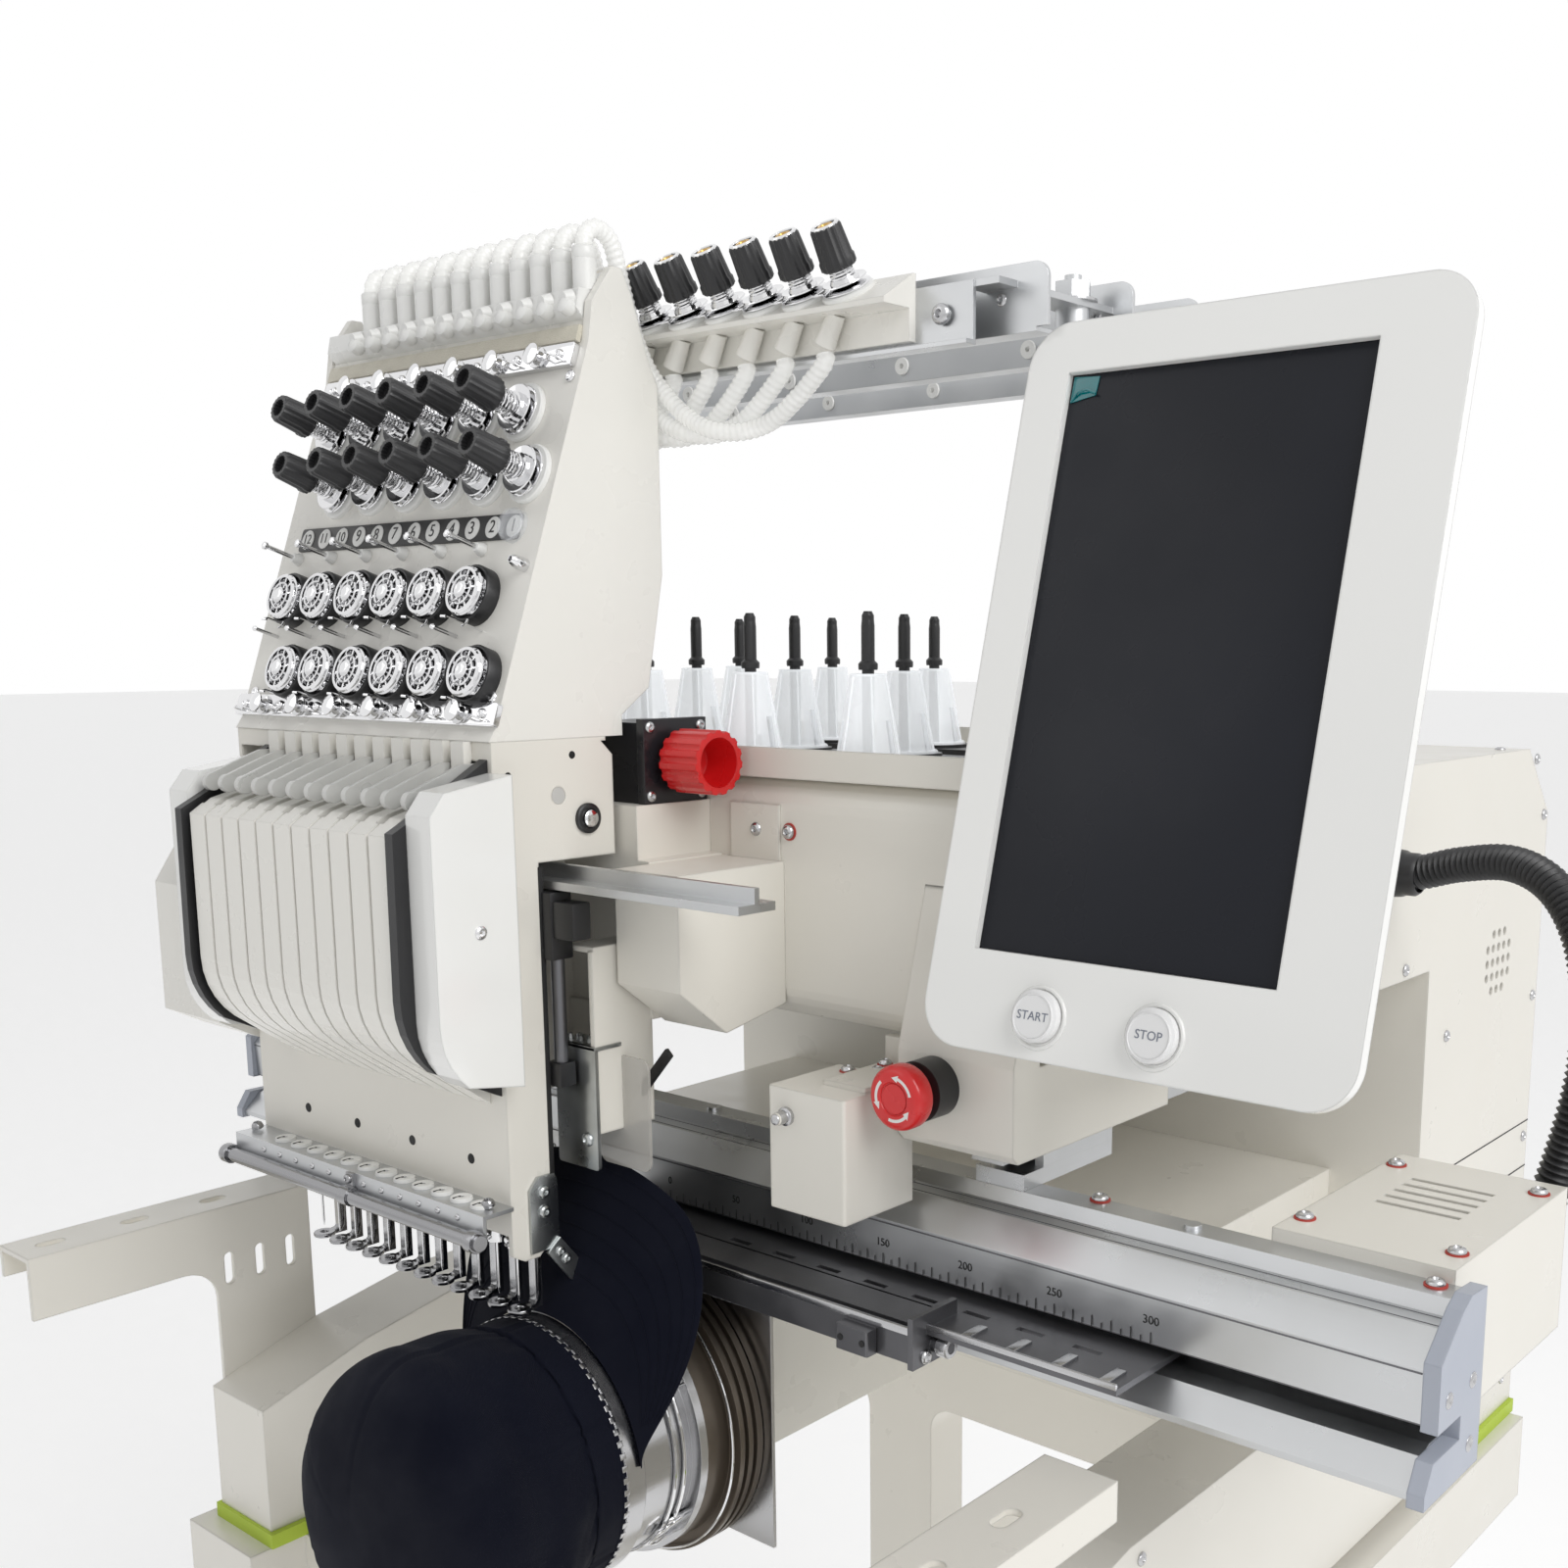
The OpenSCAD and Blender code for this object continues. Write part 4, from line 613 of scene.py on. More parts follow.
# ---- Upper tension units on the fixed bar ----
black, chromes, gold, bases = shapes(4, UPPER)
for x in UPPER_X:
    p = (x, 0, 0)
    bases.turned([(0, 0), (12.4, 0), (12.4, 1.4), (11.6, 2), (0, 2)], p, sides=36)
    chromes.turned([(3, 2), (10.8, 2), (11.6, 2.8), (11, 3.3), (7.6, 3.9), (3, 4)], p, sides=36)
    chromes.turned([(3, 4.3), (7.8, 4.5), (10.6, 5.6), (10.2, 6.2), (7, 5.8), (6.4, 7.6), (3, 7.8)], p, sides=36)
    chromes.coil(p, 5.6, 4.9, (7.6, 11.8), 3, 0.6)
    chromes.turned([(3, 2), (3, 12), (0, 12)], p, sides=16)
    knob(black, (x, 0, 11.4), 8.4)
    chromes.hoop([(4.6, 29.6), (6.4, 29.6), (6.6, 30.2), (6.2, 30.8), (4.8, 30.8)], p, sides=32)
    gold.turned([(0, 27), (3.9, 27), (3.9, 30), (3.2, 30.5), (1.9, 30.5), (1.4, 29.4), (0, 29.4)], p, sides=24)
    chromes.tube([(x - 9, -7, 3), (x - 11.6, -10.6, 4.2), (x - 9.6, -13, 5), (x - 7.6, -11.4, 4.2)], 0.5, 6)
bases.done("upper_bases", "white_part", "machine")
black.done("upper_knobs", "black_plastic", "machine", ["upper_tension_units"])
chromes.done("upper_discs", "chrome", "machine")
gold.done("upper_studs", "gold", "machine")

# ---- Needle case ----
CASE_L, CASE_R, ROD_Y = -209.8, 11, -134.2
eyes, first_eye = shapes(2)
for x in NEEDLE_X:
    target = first_eye if x == 0 else eyes
    target.hoop([(1.5, -1.7), (3.9, -1.7), (4.3, -1.3), (4.3, 1.3), (3.9, 1.7), (1.5, 1.7)],
                (x, -149, 227), RIGHT, 24)
eyes.done("lever_eyes", "white_part", CASE)
first_eye.done("lever_eye_1", "white_part", "lever")

beads, screws, rod, dark = shapes(4)
for x in NEEDLE_X:
    beads.hoop([(1.3, 29.6), (5.3, 29.6), (5.6, 30.4), (5.2, 31.8), (2.4, 32.2), (1.3, 31.7)], (x, -122, 0), sides=28)
    # A near-black slit on each bead's top: painted shade in the slit
    dark.block((x - 0.35, -127, 31.8), (x + 0.35, -122.6, 32.3), 0.1)
    screws.screw((x - 7, -131, 25.5), FRONT, 1.7, 0.8)
rod.tube([(CASE_L - 4, ROD_Y, 18), (CASE_R + 4, ROD_Y, 18)], 3.9, 24)
for x in (CASE_L - 2, CASE_R - 1):
    rod.hoop([(4, -3), (5.2, -3), (5.4, -2.4), (5.4, 2.4), (5.2, 3), (4, 3)], (x, ROD_Y, 18), RIGHT, 24)
rod.hoop([(3.9, -4), (4.8, -4), (4.8, 4), (3.9, 4)], (-96, ROD_Y, 18), RIGHT, 24)
rod.block((-99, -133, 20), (-93, -130.8, 30))
rod.screw((-96, -133, 27), FRONT, 2.6, 2.2)
for x in (-204, 4.5):
    rod.screw((x, -121, 31), (0, -0.3, 1), 3.2, 3.6)
beads.done("channel_beads", "white_part", CASE)
screws.done("channel_screws", "steel", CASE)
rod.done("channel_rod", "dark_chrome", CASE)

# Dark openings in the case's front, its side seam and small holes; near-black pieces that paint the shade inside the
# openings and holes
for x in (-164, -117, -68, -19):
    dark.disc(2.6, 0.35, (x, -113, 48), FRONT, 20, top=2.4)
for y, z in ((-104, 236), (-104, 206), (-66, 244), (-104, 120)):
    dark.disc(1.9, 0.35, (CASE_R, y, z), RIGHT, 16, top=1.7)
dark.block((CASE_R - 0.2, -89.2, 12), (CASE_R + 0.5, -86.6, 192), 0.2)
for z0 in (8, 76, 132):
    dark.block((-204, -92, z0), (8, -88.4, z0 + 10), 0.6)
dark.done("case_openings", "hole", CASE)

eye, side = shapes(2)
eye.turned([(0, 0), (7.4, 0), (7.4, 1.6), (6.6, 2.2), (5, 2.2), (4.6, 1.4), (0, 1.4)], (CASE_R, -58, 213), RIGHT, 32)
eye.done("case_eye", "black_plastic", CASE)
side.turned([(0, 0), (4.2, 0), (4.2, 2.4), (3.4, 3), (0, 3)], (CASE_R + 1, -58, 213), RIGHT, 28)
side.screw((CASE_R + 15, -134, 168), RIGHT, 3.2, 1.4)
side.screw((NEEDLE_X[-1] - 27, -134, 168), (-1, 0, 0), 3.2, 1.4)
side.done("case_side_screws", "chrome", CASE)

# Bracket low on the right wall, and the thread holder below it
plate, holder = shapes(2, sideways((CASE_R, -95, 3)))
plate.slab_from([(-8, 0), (7, 0), (9, 6), (9, 34), (7, 38), (-3, 38), (-8, 32)], 0.2, 1.8, 0.3)
for v in (30, 20):
    plate.screw((0, v, 1.8), r=3.4, h=2)
plate.done("side_bracket", "galvanised", CASE)
tilt = spun(38, (6, 0, 0))
holder.slab_from([(-5, -30), (5, -30), (5, 2), (-5, 2)], 1, 3, 0.3, tilt)
for d in (-3, -9):
    holder.screw(tilt @ Vector((0, d, 3)), r=2.7)
holder.done("thread_holder", "galvanised", CASE)

# Black guide block and its rod, beside the case's right wall
block = Shape()
block.block((CASE_R - 12, -88, 147), (CASE_R + 7, -75, 180), 1.2)
block.block((CASE_R + 6, -87, 158), (CASE_R + 22, -76, 176), 1)
for z in (175, 152):
    block.disc(2.6, 0.8, (CASE_R - 2, -88, z), FRONT, 20)
block.block((CASE_R - 4, -86, 84), (CASE_R + 7, -76, 96), 1)
block.done("guide_block", "black_plastic", CASE)
rod = Shape()
rod.tube([(CASE_R + 2, -81, 92), (CASE_R + 2, -81, 150)], 3.4, 20)
rod.done("guide_rod", "dark_steel", CASE)

# Needle clamps with their thread guides, and the presser feet's shoes and legs
LEG = [(-98, -28.8), (-94.6, -28.4), (-92.6, -26.4), (-91.8, -22), (-91.6, 2)]
clamps, first_clamp, shoes, first_shoe = shapes(4)
for x in NEEDLE_X:
    target = first_clamp if x == 0 else clamps
    target.turned([(0, 5.4), (2.8, 5.4), (3.8, 6.4), (3.8, 11.6), (3.4, 12.4), (3.3, 14), (0, 14)],
                  (x, -102.5, 0), sides=28)
    target.turned([(0, 0), (1.7, 0), (1.7, 2.6), (1.3, 3), (0, 3)], (x, -106, 9), FRONT, 16)
    target.ring((x, -108, 6.6), (0.2, 0, 1), 1.3, 0.35, 16, 6)
    foot = first_shoe if x == 0 else shoes
    foot.hoop([(2.2, -29.9), (5.6, -29.9), (5.9, -29.2), (5.9, -28.2), (5.6, -27.7), (2.5, -27.7), (2.2, -28.2)],
              (x, -102.5, 0), sides=36)
    for (y0, z0), (y1, z1) in zip(LEG, LEG[1:]):
        along = Vector((0, y1 - y0, z1 - z0))
        foot.block((-2.6, -1.15, -0.5), (2.6, 1.15, along.length + 0.5), 0.5, aimed((x, y0, z0), along))
    foot.block((x - 3.2, -95.2, -2), (x + 3.2, -89.2, 5), 0.8)
clamps.done("needle_clamps", "chrome", CASE)
first_clamp.done("needle_clamp_1", "chrome", "needle")
shoes.done("foot_shoes", "dark_chrome", CASE)
first_shoe.done("foot_shoe_1", "dark_chrome", "foot")

# ---- Control panel ----
screen, film, gasket, wells, back, vents = shapes(6, PANEL)
screen.slab_from(rounded((226.4, 366.6), (43.4, 292.6), 1), -4, -3, 0.2)
screen.done("screen", "screen_glass", "panel")
film.tube([(227.5, 281, -2.6), (231, 284.5, -1.4), (236, 285, -0.8), (240, 283.5, -1.9)], 0.5, 6)
film.slab_from([(227.2, 280.6), (239.6, 283), (240.4, 291.2), (227.4, 292)], -3, -2.5, 0.15)
film.done("screen_film", "film", "panel")
outer = [(x, y, -3.9) for x, y in rounded((225.6, 367.4), (42.6, 293.4), 1.4)]
gasket.tube(outer + outer[:2], 0.7, 6)
gasket.done("screen_gasket", "black_plastic", "panel")
for name, u in (("start", 264), ("stop", 319)):
    face, lip = shapes(2, PANEL)
    face.letters(name.upper(), (u, 18.2, 5.05), 5.2, 0.1)
    face.done(f"{name}_letters", "print_grey", name)
    lip.ring((u, 18, 4.9), UP, 9.4, 0.5, 48)
    lip.done(f"{name}_lip", "button_blue", name)
    wells.hoop([(11.6, -0.4), (13.4, -0.4), (13.6, 0.2), (12.9, 0.9), (12.1, 0.9), (11.6, 0.3)], (u, 18, 0), sides=56)
wells.done("button_wells", "white_gloss", "panel")
for v in (20, 296, 160):
    for u in (222, 386):
        back.screw((u, v, -25), (0, 0, -1), 3.4)
back.done("panel_screws", "steel", "panel")
# Vent slots on the panel's back: near-black strips, painted shade inside them
for k in range(7):
    vents.block((270, 228 + 7 * k, -25.3), (338, 230.6 + 7 * k, -24.6), 0.25)
vents.block((240, 60, -25.4), (368, 62, -24.9), 0.2)
vents.done("panel_vents", "hole", "panel")

# ---- Emergency stop ----
STOP = leaning((188, -27, 98), 0)
head, arrows, centre = shapes(3, STOP)
head.turned([(0, 0), (12.6, 0), (14.4, 0.6), (15, 2), (15, 7.4), (14.5, 9.2), (13.2, 10.5), (11.6, 11), (7.9, 11),
             (7.5, 10.3), (0, 10.3)], sides=56)
head.turned([(0, -6), (9, -6), (9, 0), (0, 0)], sides=40)


def arc(arrow, r, angle):
    """A point of one of the three arrows, at an angle in degrees from its tail."""
    return polar(r, radians(120 * arrow + 15 + angle))


for k in range(3):
    band = [arc(k, 10.6, angle) for angle in range(0, 61, 6)] + [arc(k, 9.2, angle) for angle in range(60, -1, -6)]
    for outline in (band, [arc(k, 11.6, 60), arc(k, 9.9, 80), arc(k, 8.2, 60)]):
        arrows.slab_from(outline, 10.95, 11.15, 0)
centre.turned([(0, 10.3), (7.2, 10.3), (6.8, 10.7), (0, 10.8)], sides=40)
head.done("stop_mushroom", "red_plastic", "emergency", ["stop_head"])
arrows.done("stop_arrows", "print_white", "emergency")
centre.done("stop_centre", "red_plastic", "emergency")

# ---- Screws on the fixed head, with their red washers ----
pans, washers = shapes(2)


def washer_screw(place, along, r, h=2.4):
    """A screw on its washer, whose thickness is a quarter of the head's."""
    washers.disc(r * 1.22, h / 4, place, along)
    pans.screw(Vector(place) + Vector(along) * h / 4, along, r, h)


for x in (58, 80):
    washer_screw((x, 12, 205), FRONT, 3.6)
for x, y in ((143, 4), (131, -3.5)):
    washer_screw((x, y, 94.5), UP, 3.4)
washer_screw((143, 10, 97), UP, 3.2)
pans.screw((-44, 12, 189), FRONT)
for side in (1, -1):
    for y, z in ((300, 116), (366, 66), (492, 224), (512, 187), (512, 67), (512, -30), (240, 214), (240, 130)):
        pans.screw((side * WALL, y, z), (side, 0, 0), 3.6, 1.8)
    for y, z in ((500, -66), (500, -200), (30, -120), (-60, -150)):
        pans.screw((side * WALL, y, z), (side, 0, 0), 3.4)
for x in (-262, -90, 90, 262):
    for z in (170, -36, -200):
        pans.screw((x, REAR, z), (0, 1, 0), 3.6, 0.9)
for x in (-268, 268):
    for y in (40, 196, 240, 460):
        pans.screw((x, y, 231), UP, 3.4)
for z in (222, 256):
    for y in (-27, 7):
        pans.screw((23, y, z), RIGHT, 2.9, 1.5)
pans.disc(2, 5, (23, -19, 239), RIGHT, 16)
# Stepped bolt that stands out of the limit cover
pans.turned([(0, 0), (4.4, 0), (4.4, 2), (3.2, 2.4), (3.2, 6.5), (2.4, 8.6), (0, 9.4)], (130, -45, 81.5), FRONT, 20)
pans.done("pan_screws", "steel", "machine")
washers.done("screw_washers", "washer_red", "machine")
pans, washers = shapes(2)
for place in ((248, 39, 44), (409, 36, 44), (-248, 39, 44), (-409, 36, 44), (340, 157, 50), (408, 60, 50),
              (340, 60, 50), (408, 157, 50)):
    washer_screw(place, UP, 4)
for side in (1, -1):
    for y, z in ((31, 11), (7, 11), (31, -16)):
        washer_screw((side * 427.7, y, z), (side, 0, 0), 3.4, 0.8)
pans.done("beam_screws", "steel", "pantograph")
washers.done("beam_washers", "washer_red", "pantograph")

# Seams and vents of the housing, and the cover's slots; the vents and slots are near-black pieces, painted shade
# inside them
seams, slots = shapes(2)
for side in (1, -1):
    for y0, z0, y1, z1 in ((335.5, -20.6, 520, -19.8), (219, 110, 219.8, 231), (335.5, -52.4, 520, -51.6)):
        seams.block((side * WALL - 0.25, y0, z0), (side * WALL + 0.25, y1, z1), 0.1)
for i in range(-2, 3):
    for j in range(-2, 3):
        if abs(i) + abs(j) < 4:
            seams.disc(2.4, 0.4, (277.2, 445 + 9 * i, 100 + 9 * j), RIGHT, 16)
seams.block((-279, 219, 230.9), (279, 219.8, 231.2), 0.1)
for k in range(6):
    seams.block((-60, 519.8, 60 + 9 * k), (60, 520.2, 63 + 9 * k), 0.1)
seams.done("housing_seams", "hole", "machine")
for k in range(5):
    slots.block((355, 100.4 + 10 * k, 47.2), (392, 102.6 + 10 * k, 47.6), 0.1)
slots.done("cover_slots", "hole", "pantograph")

# ---- Thread tree: eyelets, screws, and the spools' pads, ribs and tips ----
PLATE_TOPS = (459, 463, 468)
SPOOLS = [[((-89 if row % 2 else -129) + 80 * col, 36 + 76 * row) for col in range(4)] for row in range(3)]
eyelets, tree, caps, ribs = shapes(4)
for spools, high in zip(SPOOLS, PLATE_TOPS):
    for x, y in spools:
        for z in (438, high - 7):
            eyelets.hoop([(1.4, -2.2), (4.2, -2.2), (4.5, -1.2), (3, -0.8), (3, 0.8), (4.5, 1.2), (4.2, 2.2),
                          (1.4, 2.2)], (x, y, z), (0, 1, 0), 24)
    for x in (-190, 190):
        tree.screw((x, y, high - 14), FRONT, h=1.8)
        tree.screw((x + 5, y + 6, 452), h=1.8)
for x in (-190, 190):
    tree.hoop([(8.4, 0), (13.4, 0), (13.8, 0.8), (13.8, 6.6), (12.6, 8), (8.4, 8)], (x, 91, 233), sides=36)
    tree.disc(11.5, 1.2, (x, 91, 452), sides=32)
for x in (170, -170):
    tree.screw((x, 18.4, 439), FRONT, 4.6, 3)
eyelets.done("tree_eyelets", "white_part", "machine")
tree.done("tree_screws", "steel", "machine")

for x, y in sum(SPOOLS, []):
    caps.turned([(3.2, 284), (4.6, 284), (4.8, 285), (4.8, 287), (3.3, 288.5), (3.3, 305), (2.9, 309), (2, 312),
                 (0, 312)], (x, y, 0), sides=20)
    caps.disc(20.5, 238.6, (x, y, 0), sides=36, low=237)
    ribs.hoop([(17, 238.4), (18.2, 238.4), (18.2, 239.6), (17.4, 240.4), (16.6, 240.4)], (x, y, 0), sides=40)
    for a in range(6):
        ribs.tube([(16.7, 0, 240), (9.2, 0, 281)], 0.55, 6, spun(60 * a + 20, (x, y, 0)))
    ribs.ring((x, y, 281.6), UP, 8.6, 0.7, 32)
caps.done("spool_tips", "black_plastic", "machine")
ribs.done("cone_ribs", "clear_plastic", "machine")

# ---- Levelling feet: lock nut and rubber sole ----
FOOT_R = 30
lo_f, hi_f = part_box("leveling_feet")
feet, soles = shapes(2)
for x in (lo_f.x / MM + FOOT_R, hi_f.x / MM - FOOT_R):
    for y in (lo_f.y / MM + MID_Y + FOOT_R, hi_f.y / MM + MID_Y - FOOT_R):
        feet.hoop([(6, -838), (9.8, -838), (10.4, -837), (10.4, -832), (9.8, -831), (6, -831)], (x, y, 0), sides=6)
        soles.hoop([(28, -880), (30, -880), (30, -873), (29.4, -872), (28, -872)], (x, y, 0), sides=48)
feet.done("foot_nuts", "steel", "machine")
soles.done("foot_soles", "black_plastic", "machine")

# ---- Presser drive bracket, clear guard and struts beside the case ----
bracket, guard, struts = shapes(3)
bracket.slab_from(rounded((1, 31), (42, 104), 1.5), 0, 2, 0.3, spun(90, (0, -73, 0), "X"))
bracket.block((1, -75, 102), (31, -58, 104))
for k in range(7):
    bracket.turned([(0, 0), (1.9, 0), (1.4, 2.2), (0, 2.8)], (4 + 4 * k, -68 + 3 * (k % 2), 104), sides=8)
for x, z in ((8, 88), (24, 57)):
    bracket.screw((x, -75, z), FRONT, 3.6, 2.2)
guard.slab_from(rounded((12, 49), (40, 97), 5), 0, 1.6, 0.3, spun(90, (0, -56, 0), "X"))
for x0, x1, z1 in ((50, 18, 64), (16, -13, 68)):
    along = Vector((x1 - x0, 0, z1 - 99))
    struts.block((-2.6, -1.2, 0), (2.6, 1.2, along.length), 0.5, aimed((x0, -44, 99), along))
bracket.done("drive_bracket", "galvanised", "machine")
guard.done("clear_guard", "guard_plastic", "machine")
struts.done("drive_struts", "black_plastic", "machine")

# ---- Ruler on the beam ----
ticks = Shape(leaning((0, -0.55, 1), 0))
for x in range(-300, 301, 5):
    ticks.block((x - 0.16, 0.6, -0.1), (x + 0.16, 3.2 if x % 10 else 5.6, 0.22), 0.04)
for n in range(-300, 301, 50):
    ticks.letters(str(abs(n)), (n, 10.9, 0.1), 5.6, 0.1)
ticks.done("ruler_marks", "print_black", "pantograph")

# The beam's long grooves and its belt
grooves, belt = shapes(2)
for y0, y1, z0, z1 in ((-1.3, -0.7, 22.2, 22.8), (13, 13.6, 36.8, 37.15), (21, 21.6, 36.8, 37.15),
                       (-0.2, 0.4, 1, 1.5)):
    grooves.block((-420, y0, z0), (420, y1, z1), 0.05)
grooves.done("beam_grooves", "dark_steel", "pantograph")
belt.block((-419, 21.6, -8.4), (419, 23.6, 0.4), 0.3)
for k in range(-80, 81):
    belt.block((5.2 * k - 1.2, 20.9, -7.6), (5.2 * k + 1.2, 21.8, -0.4), 0.2)
belt.done("beam_belt", "black_plastic", "pantograph")

# ---- Carriage: channel lips, slot, screws, end plate bolt ----
steel, dark, bolt = shapes(3)
for y in (-45.6, -20.4):
    steel.block((34, y, -6.6), (206, y + 2, -3))
steel.block((-40, -40.5, -3.4), (34, -38.9, -0.8), 0.3)
steel.block((209, -40.5, -3.4), (308, -38.9, -0.8), 0.3)
# Near-black slots in the channel: painted shade inside them
dark.block((60, -33.4, -6.2), (98, -30.4, -5.7), 0.2)
dark.block((122, -33.4, -6.2), (150, -30.4, -5.7), 0.2)
for x in range(226, 300, 24):
    steel.block((x, -37.6, -3.2), (x + 5, -24, -1.6))
for x in (57, 108, 158, 179):
    bolt.screw((x, -29.5, -6), h=1.8)
for y, z in ((-25.2, -8), (-41, -16)):
    bolt.screw((209, y, z), RIGHT, 3.4, 2)
bolt.turned([(0, 0), (4.6, 0), (5, 0.5), (5, 5.5), (4.4, 6.2), (2.6, 6.2), (2.4, 3.4), (0, 3.4)],
            (212, -34, -12), RIGHT, 28)
# Two small near-black holes: painted shade inside them
for x in (168, 181):
    dark.disc(1.6, 0.4, (x, -52, -14), FRONT, 16)
steel.done("carriage_lips", "steel", "carriage")
dark.done("carriage_slots", "hole", "carriage")
bolt.done("carriage_bolts", "steel", "carriage")

# ---- Cap driver: wire bands, clips, and the strap's face and teeth. Z is the distance in front of the ring ----
AXIS = DATUM @ spun(90, (0, 0, -106), "X")
bands, strap, teeth, hem, bill, stitches = shapes(6, AXIS)
for r, h, wire in ((67, 47.5, 1.1), (67, 56.5, 1), (79, 15.5, 0.6), (77.4, 33, 0.8), (66.8, 62.5, 0.9)):
    bands.ring((0, 0, h), UP, r, wire, 120)
for a in (38, 142, 218, 322):
    turn = spun(a)
    bands.block((65.6, -9, 45.6), (67.4, 9, 60), 0.4, turn)
    bands.block((66.8, -5, 58), (68.4, 5, 66), 0.4, turn)
    bands.tube([(67.6, -8, 47), (69, -8, 62), (69, -4, 68), (69, 4, 68), (69, 8, 62), (67.6, 8, 47)], 0.8, 8, turn)
strap.hoop([(68.95, 84.4), (69.3, 84.4), (69.3, 95.6), (68.95, 95.6)], sides=144)
for a in range(0, 360, 5):
    teeth.block((68.85, -1.5, 94.6), (69.4, 1.5, 97.8), 0.15, spun(a))
bands.done("driver_bands", "chrome", "cap")
strap.done("strap_face", "steel", "cap")
teeth.done("strap_teeth", "steel", "cap")

# ---- Cap: crown as cloth, hem under the strap, and the bill ----
CROWN_FRONT, CROWN_DEPTH, STRAIGHT, CROWN_R, TILT = 97.6, 108, 57, 77.5, 0.03
AROUND, ALONG, OVER = 144, 28, 24
PINNED_RINGS, CLOTH_FRAMES, MOST_MOVED = 9, 15, 4 * MM
SEAM_GROOVE, SEAM_ALLOWANCE = 1, 0.5
BILL_HALF, BILL_REACH, WIDE, DEEP = 82, 75.5, 96, 18


def smooth_step(t):
    t = min(1, max(0, t))
    return t * t * (3 - 2 * t)


def crown_ring(j):
    """How far ring j is in front of the strap, and its radius before the folds."""
    if j <= ALONG:
        t = STRAIGHT * j / ALONG
        return t, 68.5 + 0.03 * t + (CROWN_R - 70.2) * smooth_step((t - 11) / 34)
    a = radians(90 * (j - ALONG) / OVER)
    r = CROWN_R * max(0, cos(a)) ** 0.75 + 7 * sin(2 * a) * cos(a)
    return STRAIGHT + (CROWN_DEPTH - STRAIGHT) * sin(a), r


def crown_point(j, k):
    t, r = crown_ring(j)
    a = 2 * pi * k / AROUND
    loose = min(1, max(0, (t - 13) / 16))
    where = Vector((*polar(r, a), t))
    folds = 3.4 * field.noise(where / 52 + Vector((3.1, 1.7, 0.4))) + 1.1 * field.noise(where / 19)
    folds += 0.9 * sin(11 * a + 1.3 * sin(3 * a)) * exp(-((t - 24) / 13) ** 2)
    x, y = polar(max(0, r + loose * folds * min(1, r / 20)), a)
    return Vector((x, y - TILT * t * loose, CROWN_FRONT + t))


cloth_mesh = Shape(AXIS)
rings = [[cloth_mesh.bm.verts.new(crown_point(j, k)) for k in range(AROUND)] for j in range(ALONG + OVER)]
cloth_mesh.skin(rings + [[cloth_mesh.bm.verts.new(crown_point(ALONG + OVER, 0))]], capped=False)
crown_mesh = bpy.data.meshes.new("crown")
cloth_mesh.bm.to_mesh(crown_mesh)
cloth_mesh.bm.free()
crown = add("crown", crown_mesh)
# The cloth is pinned at the strap and settles under its own weight with a little air inside
held = crown.vertex_groups.new(name="held")
held.add(list(range(PINNED_RINGS * AROUND)), 1, "REPLACE")
cloth = crown.modifiers.new("cloth", "CLOTH")
settings = cloth.settings
settings.quality = 6
settings.mass = 0.25
settings.tension_stiffness = settings.compression_stiffness = 25
settings.bending_stiffness = 0.6
settings.vertex_group_mass = "held"
settings.use_pressure = True
settings.uniform_pressure_force = 0.8
for step in range(1, CLOTH_FRAMES + 1):
    scene.frame_set(step)
settled = crown.evaluated_get(bpy.context.evaluated_depsgraph_get())
moved = [v.co.copy() for v in settled.data.vertices]
crown.modifiers.remove(cloth)
crown.vertex_groups.clear()
scene.frame_set(1)
for vert, goal in zip(crown_mesh.vertices, moved):
    shift = goal - vert.co
    vert.co += shift * min(1, MOST_MOVED / max(shift.length, 1e-9))
# Six sewn panels: a groove along each seam, with the raised allowance on both sides
to_axis = AXIS.inverted()
for vert in crown_mesh.vertices:
    p = to_axis @ vert.co
    t = p.z - CROWN_FRONT
    arm = Vector((p.x, p.y + TILT * t, 0))
    if arm.length > 3 and t > 2:
        off = radians(degrees(atan2(arm.y, arm.x)) % 60 - 30) * arm.length
        vert.co = AXIS @ (p + arm.normalized() * (SEAM_ALLOWANCE * exp(-((abs(off) - 3.4) / 2) ** 2)
                                                  - SEAM_GROOVE * exp(-(off / 1.3) ** 2)))
crown_mesh.shade_smooth()
crown_mesh.materials.append(FINISH["cap_cloth"])
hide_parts("cap_crown")
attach(crown, "cap")

hem.hoop([(68, 87), (68.75, 87), (68.9, 88), (68.9, 97.4), (68.6, 98.4), (68, 98.4)], sides=144)
hem = hem.done("cap_hem", "cap_cloth", "cap")


def bill_point(a, s, side):
    """A point of the bill at a degrees from its middle, a share s of the way out, on its lower or upper side."""
    reach = (BILL_REACH * (1 - smooth_step((abs(a) / BILL_HALF - 0.3) / 0.7)) + 0.4) * s
    crease = 1.2 * sin(pi * s) * (1 - (a / BILL_HALF) ** 2)
    r = 70.4 + reach + side
    return Vector((r * sin(radians(a)), r * cos(radians(a)), 87.4 - reach * 0.46 + crease + side))


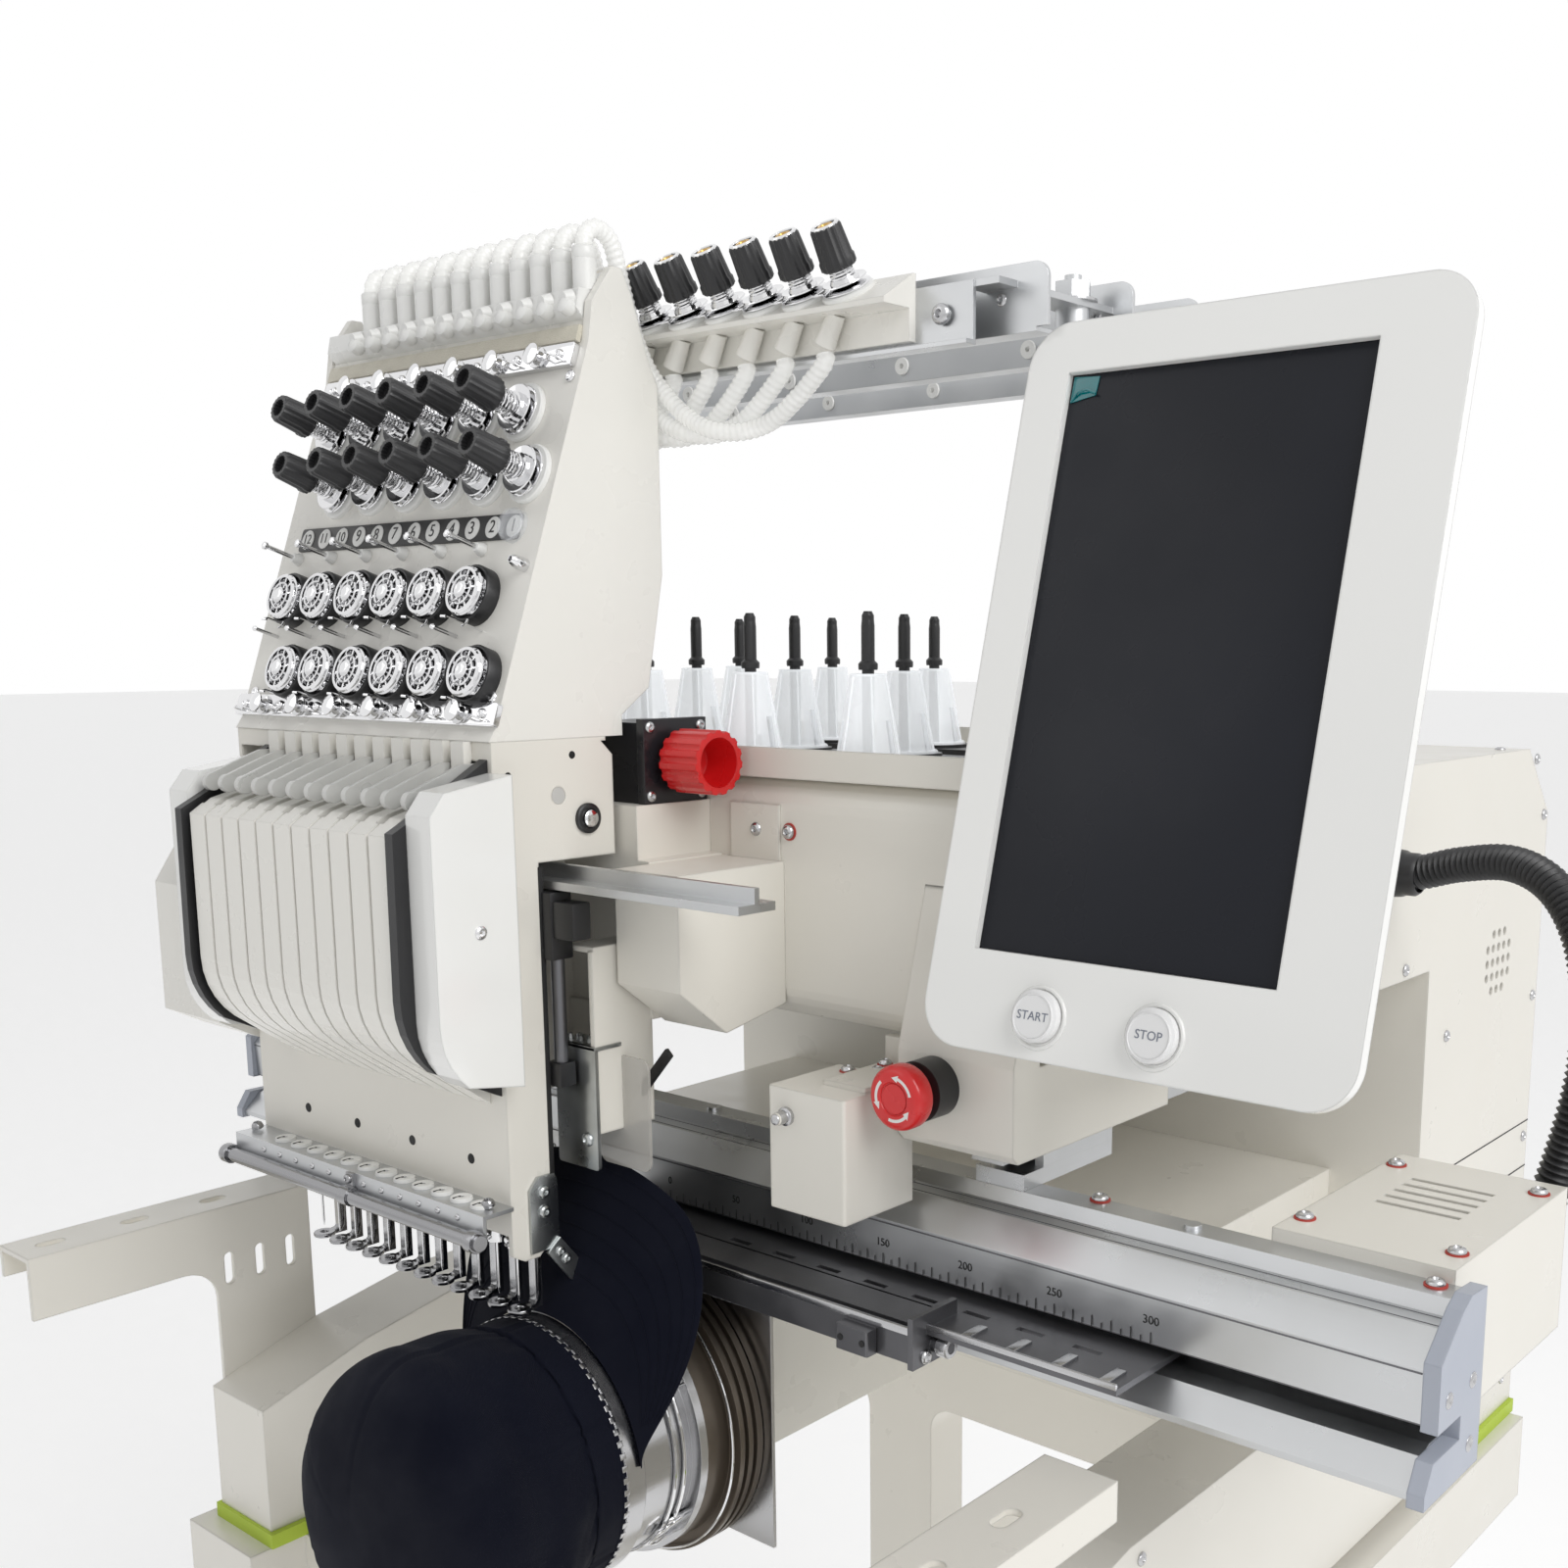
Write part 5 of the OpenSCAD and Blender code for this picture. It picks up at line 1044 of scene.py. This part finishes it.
# Each ring goes out along the bill's lower side and back along its upper side
rings = [[bill.bm.verts.new(bill_point(BILL_HALF * (2 * i / WIDE - 1), j / DEEP, side * (0.4 if j == DEEP else 1)))
          for side, way in ((-0.9, range(DEEP + 1)), (0.9, range(DEEP, -1, -1))) for j in way]
         for i in range(WIDE + 1)]
for ring in (rings[0], rings[-1]):
    for j in range(DEEP):
        bill.bm.faces.new((ring[j], ring[j + 1], ring[-2 - j], ring[-1 - j]))
bill.skin(rings, capped=False)
for row in range(6):
    for side in (-1, 1):
        stitches.tube([bill_point(-66 + 132 * i / 90, 0.93 - 0.125 * row, side) for i in range(91)], 0.3, 5)
bill.done("cap_bill", "cap_cloth", "cap", ["cap_visor"], sharp=60)
stitches.done("bill_stitches", "cap_cloth", "cap", sharp=60)

# ---- Floor, light and world: white for camera and glossy rays, dimmer for all others ----
WHITE = (1, 1, 1, 1)
HALF, AMBIENT = 40, 0.38
world = bpy.data.worlds.new("world")
scene.world = world
world.use_nodes = True
nodes, links = world.node_tree.nodes, world.node_tree.links
backdrop = nodes["Background"]
put(backdrop, Color=WHITE)
ambient = nodes.new("ShaderNodeBackground")
put(ambient, Color=WHITE, Strength=AMBIENT)
seen = nodes.new("ShaderNodeLightPath")
bright = nodes.new("ShaderNodeMath")
bright.operation = "MAXIMUM"
choose = nodes.new("ShaderNodeMixShader")
for k, ray in enumerate(("Is Camera Ray", "Is Glossy Ray")):
    links.new(seen.outputs[ray], bright.inputs[k])
for k, source in enumerate((bright, ambient, backdrop)):
    links.new(source.outputs[0], choose.inputs[k])
links.new(choose.outputs[0], nodes["World Output"].inputs[0])
scene.view_settings.view_transform = "Standard"

floor_mesh = bpy.data.meshes.new("floor")
floor_mesh.from_pydata([(-HALF, -HALF, 0), (HALF, -HALF, 0), (HALF, HALF, 0), (-HALF, HALF, 0)], [], [range(4)])
floor = add("floor", floor_mesh)
floor_mesh.materials.append(surface("floor", (0.92, 0.92, 0.92), 0.8, tint=0.99, bump=0.01, shine=0.1, glow=0.5))
floor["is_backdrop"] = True

for name, place, watts in (("key", (2.3, -0.5, 2.7), 44), ("fill", (-1.4, -2.2, 2.6), 5)):
    data = bpy.data.lights.new(name, "AREA")
    data.size = 1.8
    data.energy = watts
    light = add(name, data)
    light.location = place
    light.rotation_euler = (Vector(UP) - Vector(place)).to_track_quat("-Z", "Y").to_euler()

lo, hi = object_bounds()
